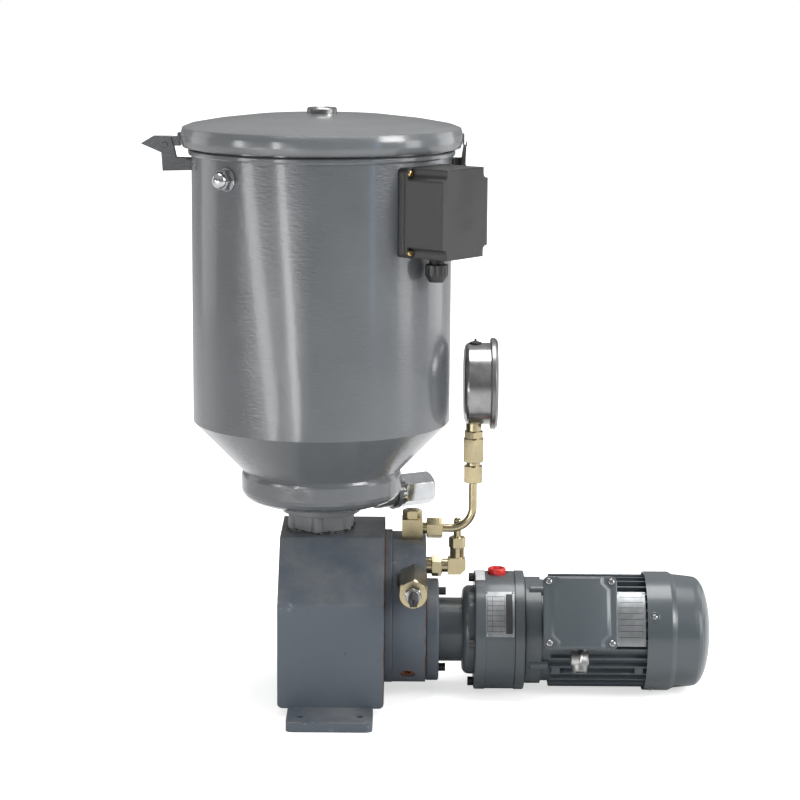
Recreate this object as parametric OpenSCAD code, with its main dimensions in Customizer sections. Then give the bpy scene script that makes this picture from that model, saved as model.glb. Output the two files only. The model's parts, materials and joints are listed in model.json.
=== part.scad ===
// Electric grease pump: a round grease tank with a hinged lid stands on a cast gear housing,
// and a motor with a cycloidal reducer drives a two-plunger pump head and a stirrer in the tank.
// Origin: middle of the foot bolt pattern, on the floor. X runs towards the motor, Y to the
// back and Z up. Millimetres.

/* [Feet and gear housing] */
// Spacing of the foot bolts along X
foot_bolt_x = 70; // [60:1:80]
// Spacing of the foot bolts along Y
foot_bolt_y = 332; // [326:1:340]
// Diameter of the foot bolt holes
foot_hole_d = 9; // [7:0.5:11]
// Width of each foot along X
foot_w = 101; // [96:1:120]
// Thickness of each foot
foot_t = 12; // [11:0.5:16]
// Width of the gear housing along X
housing_w = 126; // [120:1:140]
// Depth of the gear housing along Y
housing_d = 260; // [250:1:270]
// Depth of the flat top of the housing
housing_top_d = 114; // [106:1:130]
// Height of the housing's underside
housing_z0 = 10.5; // [9:0.5:10.5]
// Height where the sloped shoulders start
shoulder_z = 135.4; // [130:0.1:145]
// Height of the housing's flat top
housing_z1 = 201.3; // [196:0.1:210]

/* [Pump head] */
// Height of the pump body's centre
pump_z = 102.5; // [100:0.5:106]
// Radius of the pump body
pump_r = 93; // [90:0.5:97]
// Thickness of the plate between housing and pump body
pump_flange_t = 9; // [8:0.5:12]
// Thickness of the pump body
pump_t = 41; // [40:0.5:46]
// Height of the flat on top of the pump body
pump_flat_z = 188; // [184:0.5:190]
// Radius of the round pump cover
cover_r = 62.5; // [60:0.5:66]
// Thickness of the pump cover
cover_t = 16; // [12:0.5:20]
// Radius of each plunger
plunger_r = 7; // [5:0.5:8]
// Throw of the two pump eccentrics
pump_throw = 3; // [2:0.5:4]
// Width across flats of the relief valve
valve_af = 32; // [27:1:34]
// Reach of the relief valve's tip from the drive axis
valve_reach = 150; // [140:1:160]

/* [Drive line] */
// Radius of the reducer's flanges, which is also the height of the drive axis
reducer_r = 72.9; // [71:0.1:76]
// Radius of the drive shaft
shaft_r = 12; // [10:0.5:12.5]
// Length of the slim neck between pump and reducer
adapter_l = 28.4; // [24:0.1:34]
// Length of the rounded shoulder of the reducer
dome_t = 15.1; // [12:0.1:18]
// Thickness of the reducer's front flange
front_flange_t = 13; // [12:0.5:16]
// Length of the reducer's barrel
barrel_l = 36; // [36:0.5:42]
// Thickness of the reducer's rear flange
rear_flange_t = 11.5; // [10:0.5:14]
// Number of lobes on the cycloidal disc
disc_lobes = 11; // [9:1:13]
// Throw of the reducer's eccentric
disc_throw = 1.5; // [1:0.1:1.8]

/* [Motor] */
// Length of the motor's front end shield
end_bell_l = 29; // [26:0.5:34]
// Length of the finned motor frame
frame_l = 123; // [120:1:140]
// Radius of the fin tips
fin_r = 68.9; // [66:0.1:70]
// Number of cooling fins
fin_count = 36; // [24:1:40]
// Radius of the fan cowl
cowl_r = 72.8; // [72:0.1:76]
// Side of the square terminal box cover
term_side = 88; // [80:1:94]
// Angle of the terminal box above the horizontal
term_tilt = 26; // [15:1:35]

/* [Tank] */
// Distance of the tank's axis from the middle of the feet
tank_x = -15; // [-15.5:0.5:-14.5]
// Outer radius of the tank
tank_r = 155; // [152:0.5:158]
// Thickness of the tank wall
tank_wall = 3; // [2:0.5:4]
// Height of the neck under the tank
neck_h = 30; // [26:0.1:34]
// Height of the tank from its floor to its rim
tank_h = 444.7; // [420:0.1:480]

/* [Lid and latch] */
// Thickness of the lid's sheet
lid_t = 2; // [1.5:0.5:2.5]
// Gap between the lid's skirt and the tank wall
lid_gap = 10.5; // [9:0.5:13]
// Radius of the hinge pin
hinge_pin_r = 3; // [2:0.5:4]
// Radius of the latch pins
latch_pin_r = 2; // [1.5:0.5:2.5]

/* [Level switch box] */
// Width of the level switch box
box_w = 86; // [80:1:96]
// Depth of the cover of the level switch box
box_d = 55; // [46:1:60]
// Height of the level switch box
box_h = 103; // [95:1:110]

/* [Gauge line] */
// Radius of the gauge's case
gauge_r = 49.3; // [46:0.1:52]
// Height of the gauge's axis
gauge_z = 379.9; // [372:0.1:390]
// Distance of the gauge riser from the tank wall
riser_x = 29.6; // [28:0.1:35]
// Radius of the gauge tube
tube_r = 5; // [4:0.5:6]
// Bend radius of the gauge tube
tube_bend_r = 26; // [20:1:28]

/* [Clearances] */
// Radial clearance of turning shafts and pins
run_gap = 0.05; // [0.02:0.01:0.1]
// Gap between parts that move past each other
free_gap = 0.3; // [0.3:0.1:0.6]

/* [Hidden] */
$fn = 72;

// Stations along the drive line
axis_z = reducer_r;
x_flange = housing_w / 2;
x_pump = x_flange + pump_flange_t;
x_cover = x_pump + pump_t;
x_adapter = x_cover + cover_t;
x_dome = x_adapter + adapter_l;
x_front = x_dome + dome_t;
x_barrel = x_front + front_flange_t;
x_rear = x_barrel + barrel_l;
x_bell = x_rear + rear_flange_t;
x_frame = x_bell + end_bell_l;
x_cowl = x_frame + frame_l;
// Housing cavity
cavity_wall = 11;
end_wall = 3;
gear_gap = 1.5;
cavity_z1 = 118;
bearing_w = 10;
bush_r = 16;
journal_r = 8;
stirrer_r = 10;
// Face gear pair: pinion on the drive shaft, crown gear on the stirrer shaft
tooth_pitch_r = 15;
pinion_teeth = 12;
crown_teeth = 24;
crown_r = tooth_pitch_r * crown_teeth / pinion_teeth;
tooth_add = 1.8;
tooth_w = 2;
face_in = crown_r - 2;
face_out = crown_r + 4;
crown_out = face_out + 1.5;
// The cavity leaves room for the crown gear, and the blind bearing fills the wall beside it
cavity_x0 = tank_x - crown_out - gear_gap;
cavity_x1 = housing_w / 2 - cavity_wall;
bearing_t = housing_w / 2 + cavity_x0 - end_wall;
crown_root_z = axis_z + tooth_pitch_r + tooth_add + 0.7;
// Pump eccentrics and plungers
lobe_r = 20;
lobe_w = 10;
chamber_r = 32;
lobe_x1 = x_pump + 8;
lobe_x2 = x_cover - 9 - lobe_w;
plunger_in = lobe_r + pump_throw + free_gap;
plunger_l = 35;
sleeve_r = plunger_r + 6;
sleeve_in = 34;
sleeve_out = 68;
// Ports of the pump body
valve_x = x_cover - 16;
valve_z = axis_z + 81.9;
valve_seat = 72;
stud_r = 6;
side_port_x = x_pump + 19;
port_r = 9.5;
port_angle = 48;
// Reducer
oil_x = x_barrel + 14.5;
ring_n = disc_lobes + 1;
ring_r = 52;
ring_pin_r = 4.5;
disc_pin_r = ring_pin_r + 0.35;
disc_w = 12;
case_bore_r = ring_r + ring_pin_r + 0.5;
carrier_x = x_front + 11.5;
carrier_t = 8;
disc_x = carrier_x + carrier_t + 6;
out_pin_r = 5;
out_pin_circle = 30;
ecc_r = 15;
motor_shaft_r = 10;
fan_shaft_r = 8;
// Motor
core_r = 62;
rotor_r = 32;
rotor_in = 23;
rotor_l = 70;
fan_shaft_out = 65;
bore_r = rotor_r + 4;
cowl_wall = 1.5;
cowl_l = 81;
cowl_side_l = 58;
cowl_x0 = x_cowl - 5;
term_x = x_frame + 34;
term_z0 = fin_r + 1.5;
term_z1 = term_z0 + 38;
term_body = term_side - 14;
gland_z = term_z0 + 17;
gland_bore = 5.5;
// Tank and lid heights
tank_z0 = housing_z1 + neck_h;
cone_h = 104.7;
cone_z = tank_z0 + cone_h;
collar_r = 97;
rim_z = tank_z0 + tank_h;
bead_r = tank_r + 4;
lid_z = rim_z - 11;
lid_r = tank_r + lid_gap + lid_t;
hinge_x = tank_x - tank_r - 31;
hinge_z = rim_z - 10;
plate_in = 5.5;
plate_t = 2.5;
latch_px = tank_x + tank_r + 13;
latch_pz = rim_z - 34;
bail_px = latch_px - 1.5;
bail_pz = latch_pz - 12;
catch_x = tank_x + lid_r;
catch_z = lid_z + 0.8;
bail_z = catch_z - 0.7;
// Level switch box, turned to stand on the tank wall between front and right
box_turn = -38;
box_z = rim_z - 77.6;
box_base_t = 3;
notch_w = 8;
notch_h = 12.5;
gland_out = 18;
// Filler port
port_z = tank_z0 + 3.7;
port_out = collar_r + 1;
port_cap_l = 41.5;
// Gauge line
block_side = 25;
block_x = 96;
block_z1 = pump_flat_z + block_side;
line_z = pump_flat_z + 12.5;
line_nut_x0 = block_x + block_side / 2 + 4.8;
line_nut_x1 = line_nut_x0 + 19.7;
top_nut_z = 258;
adapter_z = top_nut_z + 25.5;
socket_z = adapter_z + 29.5;
gauge_x = tank_x + tank_r + riser_x;
// The tube's bend is limited by the room between its nut and the riser
tube_run = 2;
bend_r = min(tube_bend_r, gauge_x - line_nut_x1 - tube_run);
case_x0 = gauge_x - 9.2;
case_x1 = case_x0 + 28.3;
dial_x = case_x1 - 6;
spindle_r = 1.5;
// Outlet
outlet_y = 18;
outlet_z = 149;
elbow_x = x_cover + 38.6;

// Colours
cast_c = [0.34, 0.37, 0.40];
tank_c = [0.50, 0.51, 0.52];
lid_c = [0.60, 0.61, 0.62];
motor_c = [0.35, 0.40, 0.43];
steel_c = [0.72, 0.72, 0.72];
chrome_c = [0.86, 0.87, 0.88];
zinc_c = [0.70, 0.64, 0.46];
black_c = [0.10, 0.10, 0.10];
box_c = [0.30, 0.31, 0.32];
brass_c = [0.78, 0.63, 0.30];

// Turned solid about the drive axis, from points of radius and X
module about_drive(points) {
    translate([0, 0, axis_z]) rotate([0, 90, 0]) rotate_extrude() polygon(points);
}
// Turned solid about the tank's axis, from points of radius and Z
module about_tank(points) {
    translate([tank_x, 0, 0]) rotate_extrude() polygon(points);
}
// Round and six-sided bars along each axis
module rod_x(x0, x1, r, y = 0, z = axis_z) {
    translate([x0, y, z]) rotate([0, 90, 0]) cylinder(h = x1 - x0, r = r);
}
module rod_y(y0, y1, r, x, z) {
    translate([x, y1, z]) rotate([90, 0, 0]) cylinder(h = y1 - y0, r = r);
}
module rod_z(z0, z1, r, x, y = 0) {
    translate([x, y, z0]) cylinder(h = z1 - z0, r = r);
}
module hex_prism(h, af, turn = 0) {
    rotate([0, 0, turn]) cylinder(h = h, r = af / 2 / cos(30), $fn = 6);
}
module hex_x(x0, x1, af, y, z, turn = 0) {
    translate([x0, y, z]) rotate([0, 90, 0]) hex_prism(x1 - x0, af, turn);
}
module hex_y(y0, y1, af, x, z, turn = 0) {
    translate([x, y1, z]) rotate([90, 0, 0]) hex_prism(y1 - y0, af, turn);
}
module hex_z(z0, z1, af, x, y, turn = 0) {
    translate([x, y, z0]) hex_prism(z1 - z0, af, turn);
}
// Hexagon nuts whose corners are turned off at both ends
module nut(h, af, turn) {
    corner_r = af / 2 / cos(30);
    cut = (corner_r - af / 2 + 0.4) * 0.58;
    intersection() {
        hex_prism(h, af, turn);
        rotate_extrude() polygon([[0, 0], [af / 2 - 0.4, 0], [corner_r, cut], [corner_r, h - cut],
            [af / 2 - 0.4, h], [0, h]]);
    }
}
module nut_x(x0, x1, af, y, z, turn = 0) {
    translate([x0, y, z]) rotate([0, 90, 0]) nut(x1 - x0, af, turn);
}
module nut_z(z0, z1, af, x, y, turn = 0) {
    translate([x, y, z0]) nut(z1 - z0, af, turn);
}
// Rectangle with round corners
module round_rect(w, h, r) {
    square([w - 2 * r, h], center = true);
    square([w, h - 2 * r], center = true);
    for (sx = [-1, 1], sy = [-1, 1])
        translate([sx * (w / 2 - r), sy * (h / 2 - r)]) circle(r = r);
}
// Outline in X and Z, made y0 to y1 thick
module slab_y(y0, y1) {
    translate([0, y1, 0]) rotate([90, 0, 0]) linear_extrude(y1 - y0) children();
}
module ring(z0, z1, r_in, r_out) {
    translate([0, 0, z0]) difference() {
        cylinder(h = z1 - z0, r = r_out);
        translate([0, 0, -1]) cylinder(h = z1 - z0 + 2, r = r_in);
    }
}
// Ring on the drive axis
module ring_x(x0, x1, r_in, r_out) {
    translate([x0, 0, axis_z]) rotate([0, 90, 0]) ring(0, x1 - x0, r_in, r_out);
}
module tank_cylinder() {
    translate([tank_x, 0, tank_z0 + 50]) cylinder(h = tank_h, r = tank_r, $fn = 360);
}
module lid_cylinder() {
    translate([tank_x, 0, lid_z - 5]) cylinder(h = 40, r = lid_r, $fn = 360);
}

// Gear housing
module gear_housing() {
    corner_r = 6;
    color(cast_c) difference() {
        intersection() {
            translate([-housing_w / 2, 0, 0]) rotate([90, 0, 90]) linear_extrude(housing_w)
                polygon([[-housing_d / 2, housing_z0], [housing_d / 2, housing_z0],
                    [housing_d / 2, shoulder_z], [housing_top_d / 2, housing_z1],
                    [-housing_top_d / 2, housing_z1], [-housing_d / 2, shoulder_z]]);
            slab_y(-housing_d / 2 - 1, housing_d / 2 + 1) {
                translate([-housing_w / 2, housing_z0 + corner_r])
                    square([housing_w, housing_z1 - housing_z0]);
                translate([-housing_w / 2 + corner_r, housing_z0])
                    square([housing_w - 2 * corner_r, 20]);
                for (s = [-1, 1])
                    translate([s * (housing_w / 2 - corner_r), housing_z0 + corner_r])
                        circle(r = corner_r);
            }
        }
        translate([cavity_x0, -46, 26]) cube([cavity_x1 - cavity_x0, 92, cavity_z1 - 26]);
        rod_x(cavity_x0 - bearing_t, 0, journal_r + 6);
        rod_x(0, housing_w / 2 + 1, shaft_r + 8);
        rod_z(cavity_z1 - 1, housing_z1 + 1, bush_r, tank_x);
    }
}

// Front and rear feet with their bolt holes
module mounting_feet() {
    lap = 14;
    reach = foot_bolt_y / 2 + 24;
    color(cast_c) for (s = [-1, 1]) mirror([0, s > 0 ? 0 : 1, 0]) difference() {
        union() {
            translate([0, (housing_d / 2 - lap + reach) / 2, 0]) linear_extrude(housing_z0)
                round_rect(foot_w, reach - housing_d / 2 + lap, 8);
            translate([0, housing_d / 2, 0]) intersection() {
                translate([0, (reach - housing_d / 2 - lap) / 2, 0]) linear_extrude(foot_t)
                    round_rect(foot_w, reach - housing_d / 2 + lap, 8);
                translate([-foot_w, 0, 0]) cube([2 * foot_w, foot_w, foot_t]);
            }
        }
        for (t = [-1, 1])
            rod_z(-1, foot_t + 1, foot_hole_d / 2, t * foot_bolt_x / 2, foot_bolt_y / 2);
    }
}

// Plate between the housing and the pump body
module pump_flange() {
    color(cast_c) difference() {
        rod_x(x_flange, x_pump, pump_r + 0.6, 0, pump_z);
        rod_x(x_flange - 1, x_pump + 1, shaft_r + 3);
    }
}

// Pump body with its eccentric chamber, plunger bores and ports
module pump_body() {
    color(cast_c) difference() {
        rod_x(x_pump, x_cover, pump_r, 0, pump_z);
        translate([x_pump - 1, -pump_r, pump_flat_z]) cube([pump_t + 2, 2 * pump_r, 40]);
        rod_x(x_pump + 4, x_cover + 1, chamber_r);
        rod_x(x_pump - 1, x_pump + 5, shaft_r + 3);
        rod_y(-sleeve_out, 0, sleeve_r, lobe_x1 + lobe_w / 2, axis_z);
        rod_y(0, sleeve_out, sleeve_r, lobe_x2 + lobe_w / 2, axis_z);
        // machined seat of the relief valve
        rod_y(-pump_r - 10, -valve_seat, 19, valve_x, valve_z);
        side_port_frame() translate([0, 0, pump_r - 14]) cylinder(h = 30, r = port_r);
    }
}

// Recessed plug of the lower port
module side_port_frame() {
    translate([side_port_x, 0, pump_z]) rotate([90 + port_angle, 0, 0]) children();
}
module side_port_plug() {
    color([0.45, 0.30, 0.22]) side_port_frame() translate([0, 0, pump_r - 14]) difference() {
        cylinder(h = 12, r = port_r);
        translate([0, 0, 7]) hex_prism(6, 8);
    }
}

// Round cover that closes the eccentric chamber
module pump_cover() {
    color(cast_c) about_drive([[shaft_r + 1, x_cover], [cover_r - 1, x_cover],
        [cover_r - 1, x_cover + 1], [cover_r, x_cover + 1], [cover_r, x_adapter - 1.5],
        [cover_r - 1.5, x_adapter], [shaft_r + 1, x_adapter]]);
}

// Socket head screws of the pump cover and of the reducer
module cap_screw(r, h) {
    difference() {
        cylinder(h = h, r = r);
        translate([0, 0, h - 3.5]) hex_prism(5, r);
    }
}
module socket_screws() {
    cover_circle = 48.3;
    reducer_circle = 66;
    color(black_c) {
        for (s = [-1, 1]) translate([x_adapter, 0, axis_z + s * cover_circle])
            rotate([0, 90, 0]) cap_screw(5, 9);
        for (a = [0:90:270]) translate([x_front, 0, axis_z]) rotate([a, 0, 0])
            translate([0, 0, reducer_circle]) rotate([0, -90, 0]) cap_screw(5.5, 7);
    }
}

// Relief valve on the front of the pump body
module relief_valve_body() {
    color(zinc_c) difference() {
        intersection() {
            hex_y(-valve_reach, -valve_seat, valve_af, valve_x, valve_z, 25);
            rotate([90, 0, 0]) translate([valve_x, valve_z, valve_seat - 1]) rotate_extrude()
                polygon([[0, 0], [valve_af * 0.54, 0], [valve_af * 0.58, 3],
                    [valve_af * 0.58, valve_reach - valve_seat - 3],
                    [valve_af * 0.5, valve_reach - valve_seat + 1],
                    [0, valve_reach - valve_seat + 1]]);
        }
        rod_y(-valve_reach - 1, -valve_reach + 30, stud_r, valve_x, valve_z);
    }
}

// Lock nut and slotted adjusting stud of the relief valve
module relief_adjuster() {
    color(black_c) difference() {
        union() {
            rod_y(-valve_reach - 40, -valve_reach + 30, stud_r, valve_x, valve_z);
            hex_y(-valve_reach - 6, -valve_reach, 19, valve_x, valve_z);
        }
        translate([valve_x - 7, -valve_reach - 41, valve_z - 1]) cube([14, 5, 2]);
    }
}

// Plungers, one at the front and one at the back, each with its own eccentric
module plunger(x, side) {
    mirror([0, side > 0 ? 0 : 1, 0])
        rod_y(plunger_in, plunger_in + plunger_l, plunger_r, x, axis_z);
}
module plunger_front() {
    color(steel_c) plunger(lobe_x1 + lobe_w / 2, -1);
}
module plunger_rear() {
    color(steel_c) plunger(lobe_x2 + lobe_w / 2, 1);
}
module plunger_sleeves() {
    color(brass_c) for (s = [[-1, lobe_x1], [1, lobe_x2]])
        translate([s[1] + lobe_w / 2, 0, axis_z]) rotate([-90 * s[0], 0, 0])
            ring(sleeve_in, sleeve_out, plunger_r + run_gap, sleeve_r);
}

// Drive shaft with its pinion and two eccentrics
module drive_shaft() {
    color(steel_c) union() {
        rod_x(cavity_x0 - bearing_t + 0.5, cavity_x0 + 4, journal_r);
        rod_x(cavity_x0 + 2, carrier_x + carrier_t, shaft_r);
        rod_x(lobe_x1, lobe_x1 + lobe_w, lobe_r, pump_throw);
        rod_x(lobe_x2, lobe_x2 + lobe_w, lobe_r, -pump_throw);
        for (i = [0:pinion_teeth - 1]) translate([tank_x + face_in, 0, axis_z])
            rotate([i * 360 / pinion_teeth, 0, 0]) translate([0, -tooth_w / 2, 0])
                cube([face_out - face_in, tooth_w, tooth_pitch_r + tooth_add]);
    }
}

// Bearings and bushes of the drive shaft, stirrer shaft and motor shaft
module bearings() {
    color(steel_c) {
        ring_x(cavity_x0 - bearing_t, cavity_x0, journal_r + run_gap, journal_r + 6);
        ring_x(x_flange - bearing_w, x_flange, shaft_r + run_gap, shaft_r + 8);
        ring_x(x_dome - 4, x_dome + 8, shaft_r + run_gap, shaft_r + 10);
        ring_x(x_bell + 3, x_bell + 15, motor_shaft_r + run_gap, motor_shaft_r + 8);
        ring_x(x_cowl - 4, x_cowl + 6, fan_shaft_r + run_gap, fan_shaft_r + 7);
        translate([tank_x, 0, 0]) ring(housing_z1 - 50, housing_z1, stirrer_r + run_gap, bush_r);
    }
}

// Crown gear under the tank, turned by the pinion
module crown_gear() {
    color(steel_c) translate([tank_x, 0, 0]) {
        ring(crown_root_z, crown_root_z + 9, stirrer_r, crown_out);
        ring(crown_root_z + 9, crown_root_z + 22, stirrer_r, 19);
        for (i = [0:crown_teeth - 1]) rotate([0, 0, (i + 0.5) * 360 / crown_teeth])
            translate([face_in, -tooth_w / 2, axis_z + tooth_pitch_r - tooth_add])
                cube([face_out - face_in, tooth_w, crown_root_z - axis_z
                    - tooth_pitch_r + tooth_add + 1]);
    }
}

// Stirrer: upright shaft with two scraper arms that follow the cone
module stirrer_shaft() {
    color(steel_c) translate([tank_x, 0, 0]) union() {
        rod_z(crown_root_z + 1, cone_z + 2, stirrer_r, 0);
        rod_z(tank_z0 + 12, tank_z0 + 34, 18, 0);
        for (s = [0, 180]) rotate([0, 0, s + 20]) slab_y(-2.5, 2.5)
            polygon([[5, tank_z0 + 13], [83, tank_z0 + 16], [85, tank_z0 + 50],
                [139, cone_z - 4], [125, cone_z - 4], [70, tank_z0 + 52],
                [66, tank_z0 + 32], [5, tank_z0 + 32]]);
    }
}

// Slim neck and rounded shoulder of the reducer
module reducer_adapter() {
    bearing_bore = shaft_r + 10;
    round_r = 9;
    color(motor_c) difference() {
        translate([0, 0, axis_z]) rotate([0, 90, 0]) rotate_extrude() {
            translate([0, x_adapter]) square([39.1, adapter_l]);
            translate([0, x_dome]) square([54.4 - round_r, dome_t]);
            translate([0, x_dome + round_r]) square([54.4, dome_t - round_r]);
            intersection() {
                translate([54.4 - round_r, x_dome + round_r]) circle(r = round_r);
                translate([30, x_dome]) square([40, round_r]);
            }
        }
        rod_x(x_adapter - 1, x_front + 1, shaft_r + 2);
        rod_x(x_dome - 4, x_front + 1, bearing_bore);
    }
}

// Reducer case with front flange and barrel
module reducer_case() {
    lip = 1.2;
    color(motor_c) difference() {
        about_drive([[shaft_r + 2, x_front], [reducer_r - lip, x_front],
            [reducer_r, x_front + lip], [reducer_r, x_barrel], [reducer_r - 0.8, x_barrel],
            [reducer_r - 0.8, x_rear - 0.8], [reducer_r - 2, x_rear - 0.8], [reducer_r - 2, x_rear],
            [case_bore_r, x_rear], [case_bore_r, x_front + 9.5],
            [shaft_r + 2, x_front + 9.5]]);
        rod_z(axis_z + reducer_r - 2, axis_z + reducer_r + 9, 14, oil_x);
    }
}

// Red oil plug on top of the reducer
module oil_plug() {
    pz = axis_z + reducer_r - 2;
    color([0.86, 0.16, 0.14]) difference() {
        rod_z(pz, pz + 7.4, 11, oil_x);
        rod_z(pz + 5.4, pz + 8, 6, oil_x);
    }
}

// Rear flange of the reducer
module reducer_rear_flange() {
    color(motor_c) about_drive([[motor_shaft_r + 2, x_rear], [reducer_r, x_rear],
        [reducer_r, x_bell - 1], [reducer_r - 1, x_bell], [motor_shaft_r + 2, x_bell]]);
}

// Fixed ring of pins round the cycloidal disc
module ring_pins() {
    color(steel_c) for (i = [0:ring_n - 1]) translate([0, 0, axis_z])
        rotate([i * 360 / ring_n, 0, 0]) translate([disc_x - 3, 0, -ring_r]) rotate([0, 90, 0])
            cylinder(h = x_rear - disc_x + 3, r = ring_pin_r);
}

// Outline of a cycloidal disc that rolls inside the ring of pins
function cycloid_lean(t) = atan2(sin(-disc_lobes * t),
    ring_r / (disc_throw * ring_n) - cos(-disc_lobes * t));
function cycloid_point(t) = [
    ring_r * cos(t) - disc_pin_r * cos(t + cycloid_lean(t)) - disc_throw * cos(ring_n * t),
    -ring_r * sin(t) + disc_pin_r * sin(t + cycloid_lean(t)) + disc_throw * sin(ring_n * t)];

// Cycloidal disc on the motor shaft's eccentric
module cycloid_disc() {
    steps = disc_lobes * 14;
    color(steel_c) translate([disc_x, 0, axis_z - disc_throw]) rotate([0, 90, 0])
        difference() {
            linear_extrude(disc_w) polygon([for (i = [0:steps - 1]) cycloid_point(i * 360 / steps)]);
            translate([0, 0, -1]) cylinder(h = disc_w + 2, r = ecc_r + run_gap);
            for (a = [0:60:300]) rotate([0, 0, a]) translate([out_pin_circle, 0, -1])
                cylinder(h = disc_w + 2, r = out_pin_r + disc_throw + 0.35);
        }
}

// Output carrier whose six pins run in the holes of the disc
module output_carrier() {
    color(steel_c) {
        difference() {
            union() {
                rod_x(carrier_x, carrier_x + carrier_t, 44);
                for (a = [0:60:300]) translate([carrier_x, 0, axis_z]) rotate([a, 0, 0])
                    translate([0, 0, out_pin_circle]) rotate([0, 90, 0])
                        cylinder(h = disc_x - carrier_x + disc_w + 2, r = out_pin_r);
            }
            rod_x(carrier_x - 1, carrier_x + carrier_t + 1, shaft_r);
        }
    }
}

// Motor shaft with the reducer's eccentric and the rotor core
module motor_shaft() {
    color(steel_c) union() {
        rod_x(carrier_x + carrier_t + 2, x_cowl - 7, motor_shaft_r);
        rod_x(x_cowl - 8, x_cowl + fan_shaft_out, fan_shaft_r);
        rod_x(disc_x - 0.5, disc_x + disc_w + 0.5, ecc_r, 0, axis_z - disc_throw);
        rod_x(x_frame + rotor_in, x_frame + rotor_in + rotor_l, rotor_r);
    }
}

// Front end shield of the motor
module motor_end_bell() {
    color(motor_c) difference() {
        union() {
            about_drive([[motor_shaft_r + 1, x_bell], [64, x_bell], [65.3, x_bell + 1.3],
                [65.3, x_bell + 20], [core_r, x_bell + 20], [core_r, x_frame],
                [motor_shaft_r + 1, x_frame]]);
            for (a = [26:90:296]) translate([x_bell + 6, 0, axis_z]) rotate([a, 0, 0])
                translate([0, 0, 63]) rotate([0, 90, 0]) cylinder(h = end_bell_l - 7, r = 6);
        }
        rod_x(x_bell + 3, x_bell + 15, motor_shaft_r + 8);
    }
}

// Finned motor frame with the pad of the terminal box
module motor_frame() {
    color(motor_c) difference() {
        union() {
            rod_x(x_frame, x_cowl, core_r);
            rod_x(x_cowl, x_cowl + 8, cowl_r - cowl_wall);
            for (i = [0:fin_count - 1]) translate([x_frame + 2, 0, axis_z])
                rotate([(i + 0.5) * 360 / fin_count, 0, 0]) translate([0, -1.1, core_r - 2])
                    cube([frame_l - 4, 2.2, fin_r - core_r + 2]);
            term_frame() translate([-term_body / 2 + 6, -26, 40])
                cube([term_body - 12, 52, term_z0 - 40]);
        }
        rod_x(x_frame - 1, x_cowl - 7, bore_r);
        rod_x(x_cowl - 4, x_cowl + 6, fan_shaft_r + 7);
        rod_x(x_cowl - 8, x_cowl + 9, fan_shaft_r + 2);
    }
}

// The terminal box stands square to a line tilted up from the front
module term_frame() {
    translate([term_x, 0, axis_z]) rotate([90 - term_tilt, 0, 0]) children();
}
module terminal_box() {
    wall = 3.5;
    color(motor_c) term_frame() difference() {
        translate([0, 0, term_z0]) linear_extrude(term_z1 - term_z0)
            round_rect(term_body, term_body, 6);
        translate([0, 0, term_z0 + wall]) linear_extrude(term_z1 - term_z0)
            round_rect(term_body - 2 * wall, term_body - 2 * wall, 4);
        translate([0, 0, gland_z]) rotate([90, 0, 0]) cylinder(h = term_body, r = gland_bore);
    }
}
module terminal_cover() {
    cut = 14;
    half = term_side / 2 - 10;
    color(motor_c) term_frame() {
        translate([0, 0, term_z1]) linear_extrude(4.5) round_rect(term_side, term_side, 7);
        translate([0, 0, term_z1 + 4.5]) linear_extrude(2)
            polygon([[-half, cut - half], [cut - half, -half], [half - cut, -half],
                [half, cut - half], [half, half - cut], [half - cut, half],
                [cut - half, half], [-half, half - cut]]);
    }
}
module terminal_gland() {
    color(steel_c) term_frame() translate([0, -term_body / 2, gland_z]) rotate([90, 0, 0])
        difference() {
            union() {
                hex_prism(9, 22, 30);
                cylinder(h = 13, r = 9);
                translate([0, 0, 13]) hex_prism(8, 20, 30);
                translate([0, 0, 21]) cylinder(h = 5, r1 = 9.5, r2 = 7.5);
            }
            translate([0, 0, -1]) cylinder(h = 28, r = gland_bore);
        }
}

// Cooling fan and its cowl
module fan() {
    fan_x = x_cowl + 42;
    fan_w = 18;
    color(black_c) difference() {
        union() {
            rod_x(fan_x - 1, fan_x + fan_w + 1, fan_shaft_r + 6);
            rod_x(fan_x, fan_x + 2, 46);
            for (i = [0:8]) translate([fan_x + 1, 0, axis_z]) rotate([i * 40 + 7, 0, 0])
                translate([0, -1, fan_shaft_r + 3]) cube([fan_w - 1, 2, 43]);
        }
        rod_x(fan_x - 2, fan_x + fan_w + 2, fan_shaft_r);
    }
}
// Rounded end of the cowl, drawn inwards by in
function cowl_dome(in) = [for (a = [0:10:90])
    [(cowl_r - 5.4 - in) * pow(cos(a), 0.87),
        cowl_x0 + cowl_side_l + (cowl_l - cowl_side_l - in) * pow(sin(a), 0.87)]];
function reverse(list) = [for (i = [len(list) - 1:-1:0]) list[i]];
module fan_cowl() {
    step_x = cowl_x0 + 30;
    w = cowl_wall;
    color(motor_c) difference() {
        about_drive(concat([[cowl_r, cowl_x0], [cowl_r, step_x], [cowl_r - 1.6, step_x + 3.5],
            [cowl_r - 3, step_x + 6]], cowl_dome(0), reverse(cowl_dome(w)),
            [[cowl_r - 3 - w, step_x + 5.6], [cowl_r - 1.6 - w, step_x + 3.1],
            [cowl_r - w, step_x - 0.4], [cowl_r - w, cowl_x0]]));
        for (k = [1:3], i = [0:6 * k - 1]) translate([cowl_x0 + cowl_l - 7, 0, axis_z])
            rotate([i * 60 / k, 0, 0]) translate([0, 0, 11 * k]) rotate([0, 90, 0])
                cylinder(h = 10, r = 3.2);
    }
}

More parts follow.
